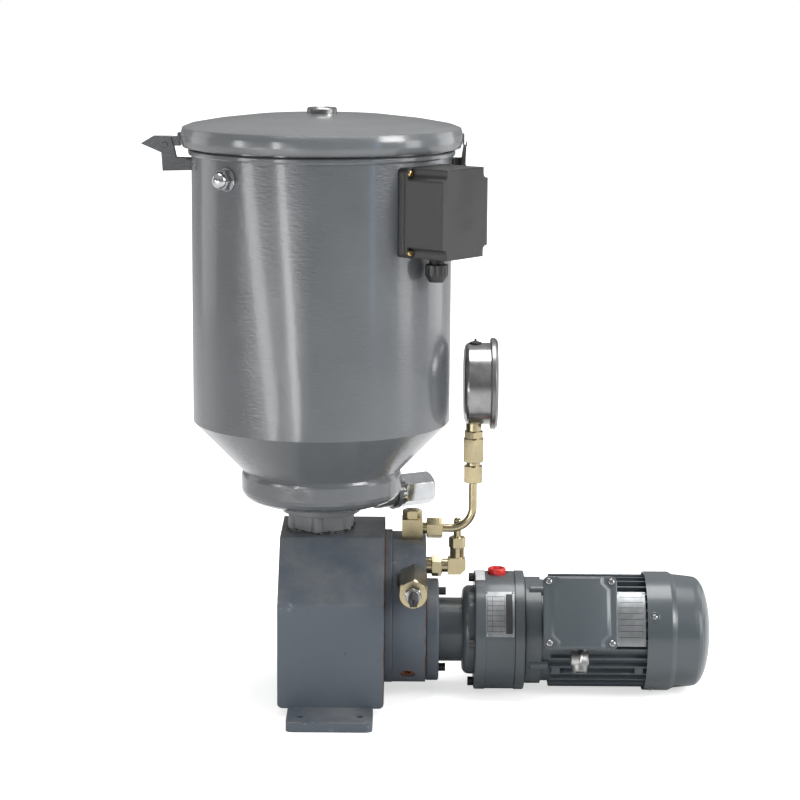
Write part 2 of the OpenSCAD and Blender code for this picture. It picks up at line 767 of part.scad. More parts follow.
// Cast neck with six ribs between housing and tank
module tank_neck() {
    flange_t = 9;
    color(cast_c) translate([tank_x, 0, 0]) difference() {
        union() {
            rod_z(housing_z1, tank_z0 - flange_t + 1, 39, 0);
            rod_z(tank_z0 - flange_t, tank_z0, 47, 0);
            for (a = [-155:60:145]) rotate([0, 0, a])
                rod_z(housing_z1, tank_z0 - flange_t + 1, 7, 36);
        }
        rod_z(housing_z1 - 1, tank_z0 + 1, 26, 0);
    }
}

// Tank: knuckle, collar, cone and straight wall with a bead under the lid
tank_outer = [[30, 0], [50, 0], [73, 3], [86, 7.4], [92, 11], [95.7, 15.5],
    [collar_r, 20], [collar_r, cone_h - 68], [collar_r - 0.6, cone_h - 65],
    [collar_r - 2, cone_h - 62], [tank_r, cone_h],
    [tank_r, tank_h - 21],
    [tank_r + 3, tank_h - 20.5], [bead_r, tank_h - 19], [bead_r, tank_h - 15.5],
    [tank_r + 3, tank_h - 14], [tank_r, tank_h - 13.5], [tank_r, tank_h]];
module tank_shell() {
    w = tank_wall;
    color(tank_c) translate([0, 0, tank_z0]) about_tank(concat(tank_outer,
        [[tank_r - w, tank_h], [tank_r - w, cone_h + 0.4 * w],
        [collar_r - 1 - w, cone_h - 62 + 0.7 * w],
        [collar_r - 1 - w, 22], [91.5 - w, 15.5], [84 - w, 9 + 0.3 * w], [72, 3.3 + w],
        [50, w], [30, w]]));
}

// Hinge on the left of the tank
module hinge_bracket() {
    hx = hinge_x;
    hz = hinge_z;
    tx = tank_x - tank_r;
    color(tank_c) difference() {
        union() {
            for (s = [-1, 1]) slab_y(s > 0 ? plate_in : -plate_in - plate_t,
                    s > 0 ? plate_in + plate_t : -plate_in)
                polygon([[hx - 28.7, hz + 1.2], [hx - 14.5, hz + 9.7], [hx + 6.7, hz + 9.7],
                    [hx + 9.7, hz - 0.8], [hx + 12.9, hz - 15.4], [tx + 2, hz - 15.8],
                    [tx + 2, hz - 30.2], [hx - 3.1, hz - 31.1], [hx - 4.5, hz - 9.4]]);
            translate([tx - 6, -13, hz - 29]) cube([9, 26, 12]);
        }
        tank_cylinder();
        rod_y(-20, 20, hinge_pin_r, hx, hz);
    }
}
module hinge_pin() {
    color(steel_c) rod_y(-plate_in - plate_t - 1, plate_in + plate_t + 1, hinge_pin_r,
        hinge_x, hinge_z);
}

// Pressed lid with a turned-down skirt
lid_outer = [[lid_r - 2, 0], [lid_r, 8], [lid_r, 16], [lid_r - 1.9, 22.5],
    [lid_r - 10.8, 26], [lid_r - 39.5, 31], [lid_r - 82.5, 36], [28, 39.3], [0, 39.3]];
module lid_cover() {
    w = lid_t;
    color(lid_c) translate([0, 0, lid_z]) about_tank(concat(lid_outer,
        [[0, 39.3 - w], [28, 39.3 - w], [lid_r - 82.5, 36 - w], [lid_r - 39.5, 31 - w],
        [lid_r - 11.2, 26 - w], [lid_r - 3.5, 22.8 - w], [lid_r - w, 16], [lid_r - w, 8],
        [lid_r - w - 2, 0.4]]));
}
module lid_gasket() {
    w = lid_t;
    r0 = tank_r - 4.5;
    r1 = tank_r + 1;
    slope = 5 / 28.3;
    top = 31 - w;
    fall0 = top - (r0 - lid_r + 39.5) * slope;
    fall1 = top - (r1 - lid_r + 39.5) * slope;
    color(black_c) translate([0, 0, lid_z]) about_tank([[r0, rim_z - lid_z + free_gap],
        [r1, rim_z - lid_z + free_gap], [r1, fall1], [r0, fall0]]);
}
module lid_hinge_arm() {
    color(lid_c) difference() {
        union() {
            rod_y(-plate_in + free_gap, plate_in - free_gap, 7, hinge_x, hinge_z);
            slab_y(-plate_in + free_gap, plate_in - free_gap)
                translate([hinge_x, hinge_z - 1.5])
                    square([tank_x - lid_r - hinge_x + 3, 11.2]);
            translate([tank_x - lid_r - 3.5, -11, lid_z + 5]) cube([6, 22, 10]);
        }
        lid_cylinder();
        rod_y(-20, 20, hinge_pin_r + run_gap, hinge_x, hinge_z);
    }
}
module lid_vent_plug() {
    color(steel_c) translate([0, 0, lid_z + 39.3])
        about_tank([[0, 0], [17.8, 0], [17.8, 5], [16.3, 6.7], [11, 6.7], [10, 5.5],
            [10, 2], [0, 2]]);
}
module lid_catch() {
    color(steel_c) difference() {
        slab_y(-9, 9) translate([catch_x, catch_z]) polygon([[-1.5, 15], [-1.5, 5],
            [0.1, 1.7], [1.8, 0], [4, 0], [5, 1.4], [5, 5.2], [3.8, 5.2], [3.8, 1.6],
            [2.4, 1.6], [1.7, 2.4], [1.7, 15]]);
        lid_cylinder();
    }
}

// Toggle latch on the right of the tank
module latch_base() {
    tx = tank_x + tank_r;
    color(black_c) difference() {
        union() {
            translate([tx - 4, -14, latch_pz - 42]) cube([6.5, 28, 52]);
            for (s = [-1, 1]) translate([tx, s > 0 ? 8.5 : -10.5, latch_pz - 6])
                cube([latch_px - tx + 3, 2, 16]);
        }
        tank_cylinder();
        rod_y(-20, 20, latch_pin_r, latch_px, latch_pz);
    }
}
module latch_lever() {
    pin_r = latch_pin_r - run_gap;
    half = 8.5 - free_gap;
    color(steel_c) union() {
        rod_y(-10.5, 10.5, pin_r, latch_px, latch_pz);
        rod_y(-half, half, 4, latch_px, latch_pz);
        slab_y(-half, half) translate([latch_px, latch_pz]) polygon([[-3, 1], [3.5, 1],
            [4.5, -12], [6, -40], [10, -45], [8, -46], [3.8, -41], [2, -18], [-3.5, -15],
            [-3.5, -4]]);
        rod_y(-13, 13, pin_r, bail_px, bail_pz);
    }
}
module latch_bail() {
    dx = catch_x + 2 - bail_px;
    dz = bail_z - bail_pz;
    color(steel_c) difference() {
        union() {
            for (s = [-1, 1]) slab_y(s > 0 ? 11 : -13, s > 0 ? 13 : -11)
                translate([bail_px, bail_pz]) polygon([[-3, -3], [3, -3], [3, 3],
                    [dx + 2, dz - 3], [dx + 2, dz], [dx - 1.4, dz], [-3, 3]]);
            slab_y(-13, 13) translate([catch_x + 2, bail_z])
                polygon([[-1.4, 0], [-1.4, -3.2], [2, -3.2], [2, 0]]);
        }
        rod_y(-20, 20, latch_pin_r, bail_px, bail_pz);
    }
}

// Domed nut on the tank wall
module cap_nut() {
    color(chrome_c) difference() {
        translate([tank_x, 0, rim_z - 42]) rotate([0, 0, -132.5])
            translate([tank_r - 2, 0, 0]) rotate([0, 90, 0]) {
                cylinder(h = 4, r = 13.5);
                hex_prism(12, 22, 30);
                cylinder(h = 13, r = 10);
                translate([0, 0, 13]) intersection() {
                    sphere(r = 10);
                    cylinder(h = 11, r = 11);
                }
            }
        tank_cylinder();
    }
}

// Level switch box: base on the tank wall, deep cover and cable gland
module box_frame() {
    translate([tank_x, 0, box_z]) rotate([0, 0, box_turn]) children();
}
module box_slab(x0, x1, r) {
    translate([x0, 0, 0]) rotate([90, 0, 90]) linear_extrude(x1 - x0)
        round_rect(box_w, box_h, r);
}
module sensor_box_base() {
    color(box_c) difference() {
        box_frame() box_slab(tank_r - 8, tank_r + box_base_t, 5);
        tank_cylinder();
    }
}
module sensor_box_cover() {
    x0 = tank_r + box_base_t;
    color(box_c) box_frame() difference() {
        box_slab(x0, x0 + box_d, 5);
        translate([x0 - 1, -box_w / 2 + 11, -box_h / 2 + 4])
            cube([box_d - 3, box_w - 22, box_h - 8]);
        // open channels that lead to the four cover screws
        for (sy = [-1, 1], sz = [-1, 1])
            translate([x0 + 5, sy * box_w / 2, sz * box_h / 2]) rotate([90, 0, 90])
                linear_extrude(box_d) round_rect(2 * notch_w, 2 * notch_h, 6);
        translate([tank_r + gland_out, 0, -box_h / 2 - 1]) cylinder(h = 12, r = gland_bore);
    }
}
module sensor_gland() {
    color(black_c) box_frame() translate([tank_r + gland_out, 0, -box_h / 2]) difference() {
        union() {
            translate([0, 0, -4]) hex_prism(4, 24);
            translate([0, 0, -9]) cylinder(h = 5, r = 9.5);
            translate([0, 0, -21]) hex_prism(12, 27);
            translate([0, 0, -30]) cylinder(h = 9, r1 = 9.5, r2 = 13);
        }
        translate([0, 0, -31]) cylinder(h = 32, r = gland_bore);
    }
}

// Filler port low on the tank's collar, with its hexagon cap
module port_frame() {
    translate([tank_x, 0, port_z]) rotate([0, 0, 30]) rotate([0, 90, 0]) children();
}
module fill_port_stub() {
    color(tank_c) {
        difference() {
            port_frame() translate([0, 0, 60]) cylinder(h = port_out - 60, r = 19);
            translate([0, 0, tank_z0]) about_tank(concat([[0, 0]], tank_outer, [[0, tank_h]]));
            translate([tank_x, 0, tank_z0 - 20]) cylinder(h = 40, r = 75);
        }
        port_frame() translate([0, 0, port_out]) cylinder(h = 6, r = 22);
    }
}
module fill_port_cap() {
    color(chrome_c) port_frame() {
        translate([0, 0, port_out + 6]) cylinder(h = 6, r = 20);
        translate([0, 0, port_out + 12]) intersection() {
            hex_prism(port_cap_l, 36, 0);
            rotate_extrude() polygon([[0, 0], [19, 0], [21, 2], [21, port_cap_l - 3],
                [18.5, port_cap_l], [0, port_cap_l]]);
        }
    }
}

// Gauge line: block on the pump body, tube, nuts and adapter
module gauge_block() {
    color(zinc_c) {
        translate([block_x - block_side / 2, -block_side / 2, pump_flat_z])
            cube([block_side, block_side, block_side]);
        nut_z(block_z1, block_z1 + 10.5, 21, block_x, 0);
    }
}
module gauge_tube() {
    reach = bend_r + 2 * tube_r;
    color(zinc_c) union() {
        rod_x(line_nut_x1, gauge_x - bend_r, tube_r, 0, line_z);
        translate([gauge_x - bend_r, 0, line_z + bend_r]) intersection() {
            rotate([90, 0, 0]) rotate_extrude() translate([bend_r, 0]) circle(r = tube_r);
            translate([0, -reach, -reach]) cube([reach, 2 * reach, reach]);
        }
        rod_z(line_z + bend_r, top_nut_z, tube_r, gauge_x);
    }
}
module gauge_line_nuts() {
    color(zinc_c) {
        rod_x(block_x + block_side / 2, line_nut_x0, 7, 0, line_z);
        nut_x(line_nut_x0, line_nut_x1, 22, 0, line_z, 0);
        nut_z(top_nut_z, top_nut_z + 21, 22, gauge_x, 0, 30);
        rod_z(top_nut_z + 21, adapter_z, 8.5, gauge_x);
        nut_z(adapter_z, socket_z, 24, gauge_x, 0, 30);
        gauge_stem();
    }
}

// Pressure gauge, dial towards the motor
module about_gauge(points) {
    translate([0, 0, gauge_z]) rotate([0, 90, 0]) rotate_extrude() polygon(points);
}
module gauge_case() {
    color(chrome_c) {
        about_gauge([[0, case_x0 - 4.6], [26, case_x0 - 4.4], [gauge_r - 9, case_x0 - 3.6],
            [gauge_r - 3.5, case_x0 - 2.2], [gauge_r - 1, case_x0 - 0.2], [gauge_r, case_x0 + 2],
            [gauge_r, case_x1], [gauge_r - 2, case_x1],
            [gauge_r - 2, dial_x], [gauge_r - 4, dial_x], [gauge_r - 4, case_x0 + 2.5],
            [0, case_x0 + 2.5]]);
    }
}
// Brass stem that carries the gauge, with its spanner hexagon
module gauge_stem() {
    difference() {
        union() {
            nut_z(socket_z, socket_z + 9, 22, gauge_x, 0, 30);
            rod_z(socket_z + 8, gauge_z - gauge_r + 12, 9.6, gauge_x);
        }
        rod_x(case_x0, case_x1, gauge_r, 0, gauge_z);
        translate([gauge_x - 20, -20, gauge_z - gauge_r + 5]) cube([40, 40, 20]);
    }
}
module gauge_bezel() {
    color(chrome_c) about_gauge([[gauge_r - 2, case_x1], [gauge_r + 4.8, case_x1],
        [gauge_r + 6, case_x1 + 1.2], [gauge_r + 6, case_x1 + 5.5], [gauge_r + 3, case_x1 + 8.5],
        [gauge_r - 3, case_x1 + 8.5], [gauge_r - 3, case_x1 + 6.5], [gauge_r - 2, case_x1 + 6.5]]);
}
module gauge_glass() {
    color([0.85, 0.9, 0.92, 0.4]) about_gauge([[0, case_x1 + 3.5], [gauge_r - 2, case_x1 + 3.5],
        [gauge_r - 2, case_x1 + 6.5], [0, case_x1 + 6.5]]);
}
module gauge_dial() {
    color([0.93, 0.93, 0.91]) {
        about_gauge([[spindle_r + run_gap, dial_x], [gauge_r - 2, dial_x],
            [gauge_r - 2, dial_x + 1], [spindle_r + run_gap, dial_x + 1]]);
        about_gauge([[spindle_r + run_gap, case_x0 + 2.5], [12, case_x0 + 2.5],
            [12, dial_x], [spindle_r + run_gap, dial_x]]);
    }
}
module gauge_pointer() {
    color(black_c) {
        rod_x(dial_x - 8, dial_x + 3.5, spindle_r, 0, gauge_z);
        rod_x(dial_x + 2, dial_x + 4, 5, 0, gauge_z);
        translate([dial_x + 2.2, 0, gauge_z]) rotate([135, 0, 0]) rotate([90, 0, 90])
            linear_extrude(1.2) polygon([[-2.5, -12], [2.5, -12], [1.2, 36], [-1.2, 36]]);
    }
}
module gauge_fill_plug() {
    top = gauge_z + gauge_r;
    color(black_c) difference() {
        translate([case_x0 + 10, 0, 0]) rotate_extrude() polygon([[0, top - 4], [7.5, top - 4],
            [7.5, top + 1], [4, top + 2.2], [1.6, top + 2.8], [1.2, top + 5.5], [0, top + 5.5]]);
        rod_x(case_x0 - 5, case_x1 + 5, gauge_r, 0, gauge_z, $fn = 240);
    }
}

// Grease outlet: union nut, elbow, and a capped stub
module outlet_elbow() {
    color(zinc_c) {
        rod_x(x_cover, x_cover + 7, 10.5, outlet_y, outlet_z);
        nut_x(x_cover + 7, x_cover + 20, 24, outlet_y, outlet_z, 0);
        union() {
            rod_x(x_cover + 20, x_cover + 28, 8.5, outlet_y, outlet_z);
            slab_y(outlet_y - 9.5, outlet_y + 9.5) translate([elbow_x, outlet_z])
                polygon([[-11.5, -9.5], [4, -9.5], [10.5, -3], [10.5, 8], [9, 11], [-9, 11],
                    [-9.5, 9.5], [-11.5, 9.5]]);
            rod_z(outlet_z + 10, outlet_z + 23, 9, elbow_x, outlet_y);
        }
    }
}
module outlet_stub() {
    base_z = outlet_z + 23;
    color(zinc_c) {
        nut_z(base_z, base_z + 13.5, 18, elbow_x, outlet_y, 0);
        rod_z(base_z + 13.5, base_z + 33, 4.75, elbow_x, outlet_y);
        translate([elbow_x, outlet_y, base_z + 33]) intersection() {
            sphere(r = 4.75);
            cylinder(h = 5, r = 6);
        }
    }
}

gear_housing();
mounting_feet();
pump_flange();
pump_body();
pump_cover();
socket_screws();
side_port_plug();
relief_valve_body();
relief_adjuster();
plunger_front();
plunger_rear();
plunger_sleeves();
drive_shaft();
bearings();
crown_gear();
stirrer_shaft();
reducer_adapter();
reducer_case();
reducer_rear_flange();
oil_plug();
ring_pins();
cycloid_disc();
output_carrier();
motor_shaft();
motor_end_bell();
motor_frame();
terminal_box();
terminal_cover();
terminal_gland();
fan();
fan_cowl();
tank_neck();
tank_shell();
hinge_bracket();
hinge_pin();
lid_cover();
lid_gasket();
lid_hinge_arm();
lid_vent_plug();
lid_catch();
latch_base();
latch_lever();
latch_bail();
cap_nut();
sensor_box_base();
sensor_box_cover();
sensor_gland();
fill_port_stub();
fill_port_cap();
gauge_block();
gauge_tube();
gauge_line_nuts();
gauge_case();
gauge_bezel();
gauge_glass();
gauge_dial();
gauge_pointer();
gauge_fill_plug();
outlet_elbow();
outlet_stub();
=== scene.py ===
# %% [markdown]
# # Electric grease pump
# A round grease tank with a hinged lid stands on a cast gear housing. A motor with a cycloidal
# reducer drives the pump head and the stirrer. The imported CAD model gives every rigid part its
# true shape and place. This script adds the finishes, the fasteners, plates, threads, seams and
# dial marks that the solids leave out, and the studio.

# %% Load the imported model
import json
import math
import random

import bmesh
import bpy
from mathutils import Matrix, Vector


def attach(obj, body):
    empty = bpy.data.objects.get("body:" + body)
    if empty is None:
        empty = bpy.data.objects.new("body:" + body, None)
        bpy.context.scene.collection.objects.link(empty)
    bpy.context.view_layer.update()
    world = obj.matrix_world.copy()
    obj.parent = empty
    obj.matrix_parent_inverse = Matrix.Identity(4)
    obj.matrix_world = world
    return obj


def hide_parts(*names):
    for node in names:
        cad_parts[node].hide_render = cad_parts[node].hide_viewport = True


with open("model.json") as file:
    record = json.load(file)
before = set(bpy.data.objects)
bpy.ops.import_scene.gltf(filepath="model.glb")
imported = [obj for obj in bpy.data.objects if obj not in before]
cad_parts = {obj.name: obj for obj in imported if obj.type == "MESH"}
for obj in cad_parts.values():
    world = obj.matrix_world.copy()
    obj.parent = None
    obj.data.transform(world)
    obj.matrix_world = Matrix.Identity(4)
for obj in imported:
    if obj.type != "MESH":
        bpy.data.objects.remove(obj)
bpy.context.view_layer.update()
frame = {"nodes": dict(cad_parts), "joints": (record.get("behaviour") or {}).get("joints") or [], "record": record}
nodes = frame["nodes"]
MM = 0.001

# %% [markdown]
# ## Places read from the frame
# The small pieces stand on CAD parts, so their places come from the parts' boxes and from the
# joints. Boxes are held in single precision, and rounding to a hundredth of a millimetre takes
# away the stray last digits.

# %% Places from the frame
X, Y, Z = range(3)


def extent(name, axis):
    """Low and high end of a node along an axis, in millimetres."""
    part = nodes[name]
    ends = [(part.matrix_world @ Vector(corner))[axis] / MM for corner in part.bound_box]
    return round(min(ends), 2), round(max(ends), 2)


def centre_of(name, axis):
    return round(sum(extent(name, axis)) / 2, 2)


joint_at = {row["name"]: [value / MM for value in row["pos_m"]]
    for row in frame["joints"] if "pos_m" in row}
AXIS_Z = round(joint_at["rotor_spin"][Z], 2)
TANK_X = round(joint_at["stirrer_spin"][X], 2)
GAUGE_Z = round(joint_at["pointer_turn"][Z], 2)
print("drive axis at", AXIS_Z, "tank axis at", TANK_X, "gauge axis at", GAUGE_Z)

# %% [markdown]
# ## Camera
# The photograph was taken from about 2.9 m with a long lens, looking down by ten degrees, so
# upright lines stay almost parallel. The view was solved from the tank's outline, the feet and
# the motor. The camera is made first, because every finish is judged through it.

# %% Camera
camera_data = bpy.data.cameras.new("photo_camera")
camera_data.lens = 110.25
camera_data.sensor_width = 36
camera = bpy.data.objects.new("photo_camera", camera_data)
bpy.context.collection.objects.link(camera)
camera.matrix_world = (Matrix.Translation((0.0799, -2.921, 0.8792))
    @ Matrix.Rotation(math.radians(79.9), 4, "X")
    @ Matrix.Rotation(math.radians(0.40), 4, "Z"))
bpy.context.scene.camera = camera
bpy.context.scene.view_settings.view_transform = "Standard"
print("camera lens", camera_data.lens)

# %% [markdown]
# ## Two helpers for shader trees
# A finish is a small tree of nodes. Writing each node with its inputs in one call keeps the
# trees short enough to read: an input may be a number, a colour or the output of another node.

# %% Node helpers
def add(tree, kind, inputs=None, **settings):
    """A shader node whose inputs are values or the outputs of other nodes."""
    made = tree.nodes.new("ShaderNode" + kind)
    for name, value in settings.items():
        setattr(made, name, value)
    for name, value in (inputs or {}).items():
        if isinstance(value, bpy.types.NodeSocket):
            tree.links.new(value, made.inputs[name])
        else:
            made.inputs[name].default_value = value
    return made


def maths(tree, operation, a, b=0.0):
    return add(tree, "Math", {0: a, 1: b}, operation=operation).outputs[0]


def span(tree, value, low, high, start=0.0, end=1.0):
    """value between low and high, eased to run from start to end."""
    made = add(tree, "MapRange", {"Value": value, "From Min": low, "From Max": high,
        "To Min": start, "To Max": end}, interpolation_type="SMOOTHSTEP")
    return made.outputs[0]


def tint(tree, factor, first, second):
    """Colour that turns from first to second as factor goes from 0 to 1."""
    made = add(tree, "Mix", {0: factor, 6: first, 7: second}, data_type="RGBA")
    return made.outputs[2]


def noise(tree, vector, scale, detail=3.0, rough=0.55):
    return add(tree, "TexNoise", {"Vector": vector, "Scale": scale, "Detail": detail,
        "Roughness": rough}).outputs["Fac"]


def own_place(tree):
    """Coordinates fixed to the piece, in metres."""
    return add(tree, "TexCoord").outputs["Object"]


def new_group(name, inputs, outputs):
    """An empty node group with named inputs and outputs, and its two end nodes."""
    group = bpy.data.node_groups.new(name, "ShaderNodeTree")
    for label, value in inputs.items():
        socket = group.interface.new_socket(name=label, in_out="INPUT",
            socket_type="NodeSocketFloat")
        socket.default_value = value
    for label in outputs:
        group.interface.new_socket(name=label, in_out="OUTPUT", socket_type="NodeSocketFloat")
    return group, group.nodes.new("NodeGroupInput").outputs, group.nodes.new("NodeGroupOutput")


def close_group(group, end, results):
    for label, socket in results.items():
        group.links.new(socket, end.inputs[label])
    print("group", group.name, len(group.nodes), "nodes")
    return group


def use(tree, group, **values):
    """A placed group. Input names are written with underscores for spaces."""
    made = tree.nodes.new("ShaderNodeGroup")
    made.node_tree = group
    for label, value in values.items():
        socket = made.inputs[label.replace("_", " ")]
        if isinstance(value, bpy.types.NodeSocket):
            tree.links.new(value, socket)
        else:
            socket.default_value = value
    return made.outputs


# %% [markdown]
# ## Worn edges and painted edge highlights
# Paint and plating go first where an edge sticks out. The Bevel node rounds the normal near an
# edge; where that differs from the true normal there is an edge, whatever the mesh looks like.
# Noise then breaks the line into chips, because an even line would look drawn. The finishes also
# use the edge mask to paint every edge in a lighter copy of their colour, a painted highlight.

# %% Group: edge wear and painted edge highlight
group, ins, end = new_group("edge_wear_and_highlight", {"Reach": 0.0015, "Patch Size": 60.0, "Wear": 0.5},
    ["Edge", "Chips"])
soft_normal = add(group, "Bevel", {"Radius": ins["Reach"]}, samples=6).outputs[0]
true_normal = add(group, "NewGeometry").outputs["Normal"]
facing = add(group, "VectorMath", {0: soft_normal, 1: true_normal},
    operation="DOT_PRODUCT").outputs["Value"]
# Edge mask: the finishes paint it lighter, a painted highlight. Chips are real wear.
edge = span(group, facing, 0.985, 0.80)
patches = noise(group, own_place(group), ins["Patch Size"], 5.0, 0.65)
limit = maths(group, "SUBTRACT", 0.85, maths(group, "MULTIPLY", ins["Wear"], 0.5))
chips = maths(group, "MULTIPLY", span(group, facing, 0.95, 0.72),
    span(group, patches, limit, maths(group, "ADD", limit, 0.04)))
edge_wear_and_highlight = close_group(group, end, {"Edge": edge, "Chips": chips})

# %% [markdown]
# ## Sprayed paint
# Sprayed machine paint has a faint orange peel and slow changes of shade. Two noises do it: a
# fine one that only feeds the bump, and a broad one that shifts colour and gloss a little.

# %% Group: sprayed paint
group, ins, end = new_group("sprayed_paint", {"Peel Size": 420.0, "Cloud Size": 9.0},
    ["Peel", "Cloud"])
place = own_place(group)
peel = noise(group, place, ins["Peel Size"], 2.0, 0.5)
cloud = noise(group, place, ins["Cloud Size"], 4.0, 0.6)
sprayed_paint = close_group(group, end, {"Peel": peel, "Cloud": cloud})

# %% [markdown]
# ## Sand casting
# The housing, feet and pump body were cast in sand, so the paint lies on a lumpy skin with some
# pits. A broad and a fine noise make the skin, and the low end of a third makes the pits.

# %% Group: cast skin
group, ins, end = new_group("cast_skin", {"Grain Size": 170.0}, ["Skin", "Pits"])
place = own_place(group)
lumps = noise(group, place, 28.0, 3.0)
grain = noise(group, place, ins["Grain Size"], 4.0, 0.6)
pits = span(group, noise(group, place, 210.0, 2.0), 0.28, 0.22)
skin = maths(group, "ADD", maths(group, "MULTIPLY", lumps, 0.9), grain)
skin = maths(group, "SUBTRACT", skin, maths(group, "MULTIPLY", pits, 0.6))
cast_skin = close_group(group, end, {"Skin": skin, "Pits": pits})

# %% [markdown]
# ## Dust
# Dust settles on what faces up. The world normal's Z tells which way a spot faces, and noise
# thins the film so that it isn't a flat tint.

# %% Group: settled dust
group, ins, end = new_group("settled_dust", {"Amount": 0.3, "Patch Size": 14.0}, ["Dust"])
up = add(group, "SeparateXYZ", {0: add(group, "NewGeometry").outputs["Normal"]}).outputs[2]
film = maths(group, "MULTIPLY", span(group, up, 0.35, 1.0),
    span(group, noise(group, own_place(group), ins["Patch Size"], 5.0, 0.65), 0.3, 0.75))
settled_dust = close_group(group, end, {"Dust": maths(group, "MULTIPLY", film, ins["Amount"])})

# %% [markdown]
# ## Rust in a seam
# Water stands in the joints between the castings, and rust creeps out of them. The mask is a
# band round one station along X whose width changes with noise, so that it comes and goes. An
# end face at the same station stays clean, because it faces along X.

# %% Group: rusty seam
group, ins, end = new_group("rusty_seam", {"Station": 0.0, "Width": 0.0015, "Patch Size": 40.0},
    ["Rust"])
place = own_place(group)
along = add(group, "SeparateXYZ", {0: place}).outputs[0]
away = maths(group, "ABSOLUTE", maths(group, "SUBTRACT", along, ins["Station"]))
patches = noise(group, place, ins["Patch Size"], 5.0, 0.7)
reach = maths(group, "MULTIPLY", span(group, patches, 0.34, 0.62), ins["Width"])
band = span(group, maths(group, "SUBTRACT", away, reach), 0.0004, -0.0004)
lengthways = add(group, "SeparateXYZ", {0: add(group, "TexCoord").outputs["Normal"]}).outputs[0]
rust = maths(group, "MULTIPLY", band,
    span(group, maths(group, "ABSOLUTE", lengthways), 0.6, 0.3))
rusty_seam = close_group(group, end, {"Rust": rust})

# %% [markdown]
# ## Wear in one place
# Some marks on the real pump sit in one spot: a rubbed patch beside the gauge block, a dent in
# the tank's collar, a smear on the tank. The mask is a soft ball round a place, and noise
# breaks it up where the mark is ragged.

# %% Group: local mark
group, ins, end = new_group("local_mark", {"X": 0.0, "Y": 0.0, "Z": 0.0, "Radius": 0.02,
    "Patch Size": 60.0}, ["Ball", "Ragged"])
place = own_place(group)
centre = add(group, "CombineXYZ", {0: ins["X"], 1: ins["Y"], 2: ins["Z"]}).outputs[0]
distance = add(group, "VectorMath", {0: place, 1: centre}, operation="DISTANCE").outputs["Value"]
ball = span(group, maths(group, "DIVIDE", distance, ins["Radius"]), 1.0, 0.0)
patches = noise(group, place, ins["Patch Size"], 6.0, 0.7)
ragged = maths(group, "MULTIPLY", span(group, ball, 0.05, 0.6), span(group, patches, 0.50, 0.60))
local_mark = close_group(group, end, {"Ball": ball, "Ragged": ragged})

# %% [markdown]
# ## Turned and plated metal
# Turned parts carry fine rings from the tool, and plating is blotchy. The rings come from noise
# that is squeezed along one axis and stretched along the others.

# %% Group: tool marks and plating blotches
group, ins, end = new_group("tool_marks", {"Fine": 900.0, "Blotch Size": 45.0},
    ["Rings", "Blotch", "Stain"])
place = own_place(group)
squeezed = add(group, "Mapping", {"Vector": place, "Scale": (1.0, 0.04, 0.04)}).outputs[0]
rings = noise(group, squeezed, ins["Fine"], 3.0, 0.6)
blotch = noise(group, place, ins["Blotch Size"], 5.0, 0.65)
stain = span(group, noise(group, place, 50.0, 4.0, 0.6), 0.50, 0.75)
tool_marks = close_group(group, end, {"Rings": rings, "Blotch": blotch, "Stain": stain})

# %% [markdown]
# ## Moulded plastic
# The level switch box has the sandy grain of a spark-eroded mould. Small cells set the height,
# and their random shade gives a slight sparkle in gloss.

# %% Group: moulded grain
group, ins, end = new_group("moulded_grain", {"Grain Size": 1600.0}, ["Grain", "Shade"])
place = own_place(group)
cells = add(group, "TexVoronoi", {"Vector": place, "Scale": ins["Grain Size"]}).outputs[0]
shade = noise(group, place, 22.0, 4.0)
moulded_grain = close_group(group, end, {"Grain": cells, "Shade": shade})

# %% [markdown]
# ## A finish and its shader
# Each finish is one material with its own Principled shader. Values that are the same all over
# are set on the shader itself; only what changes over the surface comes through links.

# %% Finish helpers
finishes = {}


def new_finish(name, **values):
    """A material with a Principled shader. Returns its tree and its shader's inputs."""
    material = bpy.data.materials.new(name)
    material.use_nodes = True
    tree = material.node_tree
    tree.nodes.clear()
    shader = add(tree, "BsdfPrincipled")
    for label, value in values.items():
        shader.inputs[label.replace("_", " ")].default_value = value
    tree.links.new(shader.outputs[0], add(tree, "OutputMaterial").inputs["Surface"])
    finishes[name] = material
    return tree, shader.inputs


def feed(tree, inputs, label, socket):
    tree.links.new(socket, inputs[label])


def raise_surface(tree, inputs, height, depth, edge_round=0.0):
    """Bump whose full height is depth in metres, on edges rounded by a radius in metres."""
    bump = add(tree, "Bump", {"Height": height, "Strength": 1.0, "Distance": depth})
    if edge_round:
        soft = add(tree, "Bevel", {"Radius": edge_round}, samples=4).outputs[0]
        tree.links.new(soft, bump.inputs["Normal"])
    tree.links.new(bump.outputs[0], inputs["Normal"])
    return bump


def shades(colour, factor):
    """The colour made lighter or darker, with full alpha."""
    return tuple(c * factor for c in colour[:3]) + (1.0,)


RUST = (0.085, 0.036, 0.018, 1.0)
DUST = (0.34, 0.32, 0.29, 1.0)
BARE_IRON = (0.30, 0.28, 0.26, 1.0)
RUBBED_PALE_AND_HIGHLIGHT = (0.24, 0.26, 0.28, 1.0)


# %% [markdown]
# ## Paint on smooth sheet and machined parts
# Tank, lid, motor, reducer and cowl are sprayed with the same kind of machine paint, but with
# different shade and gloss. One function makes the tree, and each part gives its own values. The
# lid's edge is pressed over a large radius, so its normals are rounded over six millimetres.

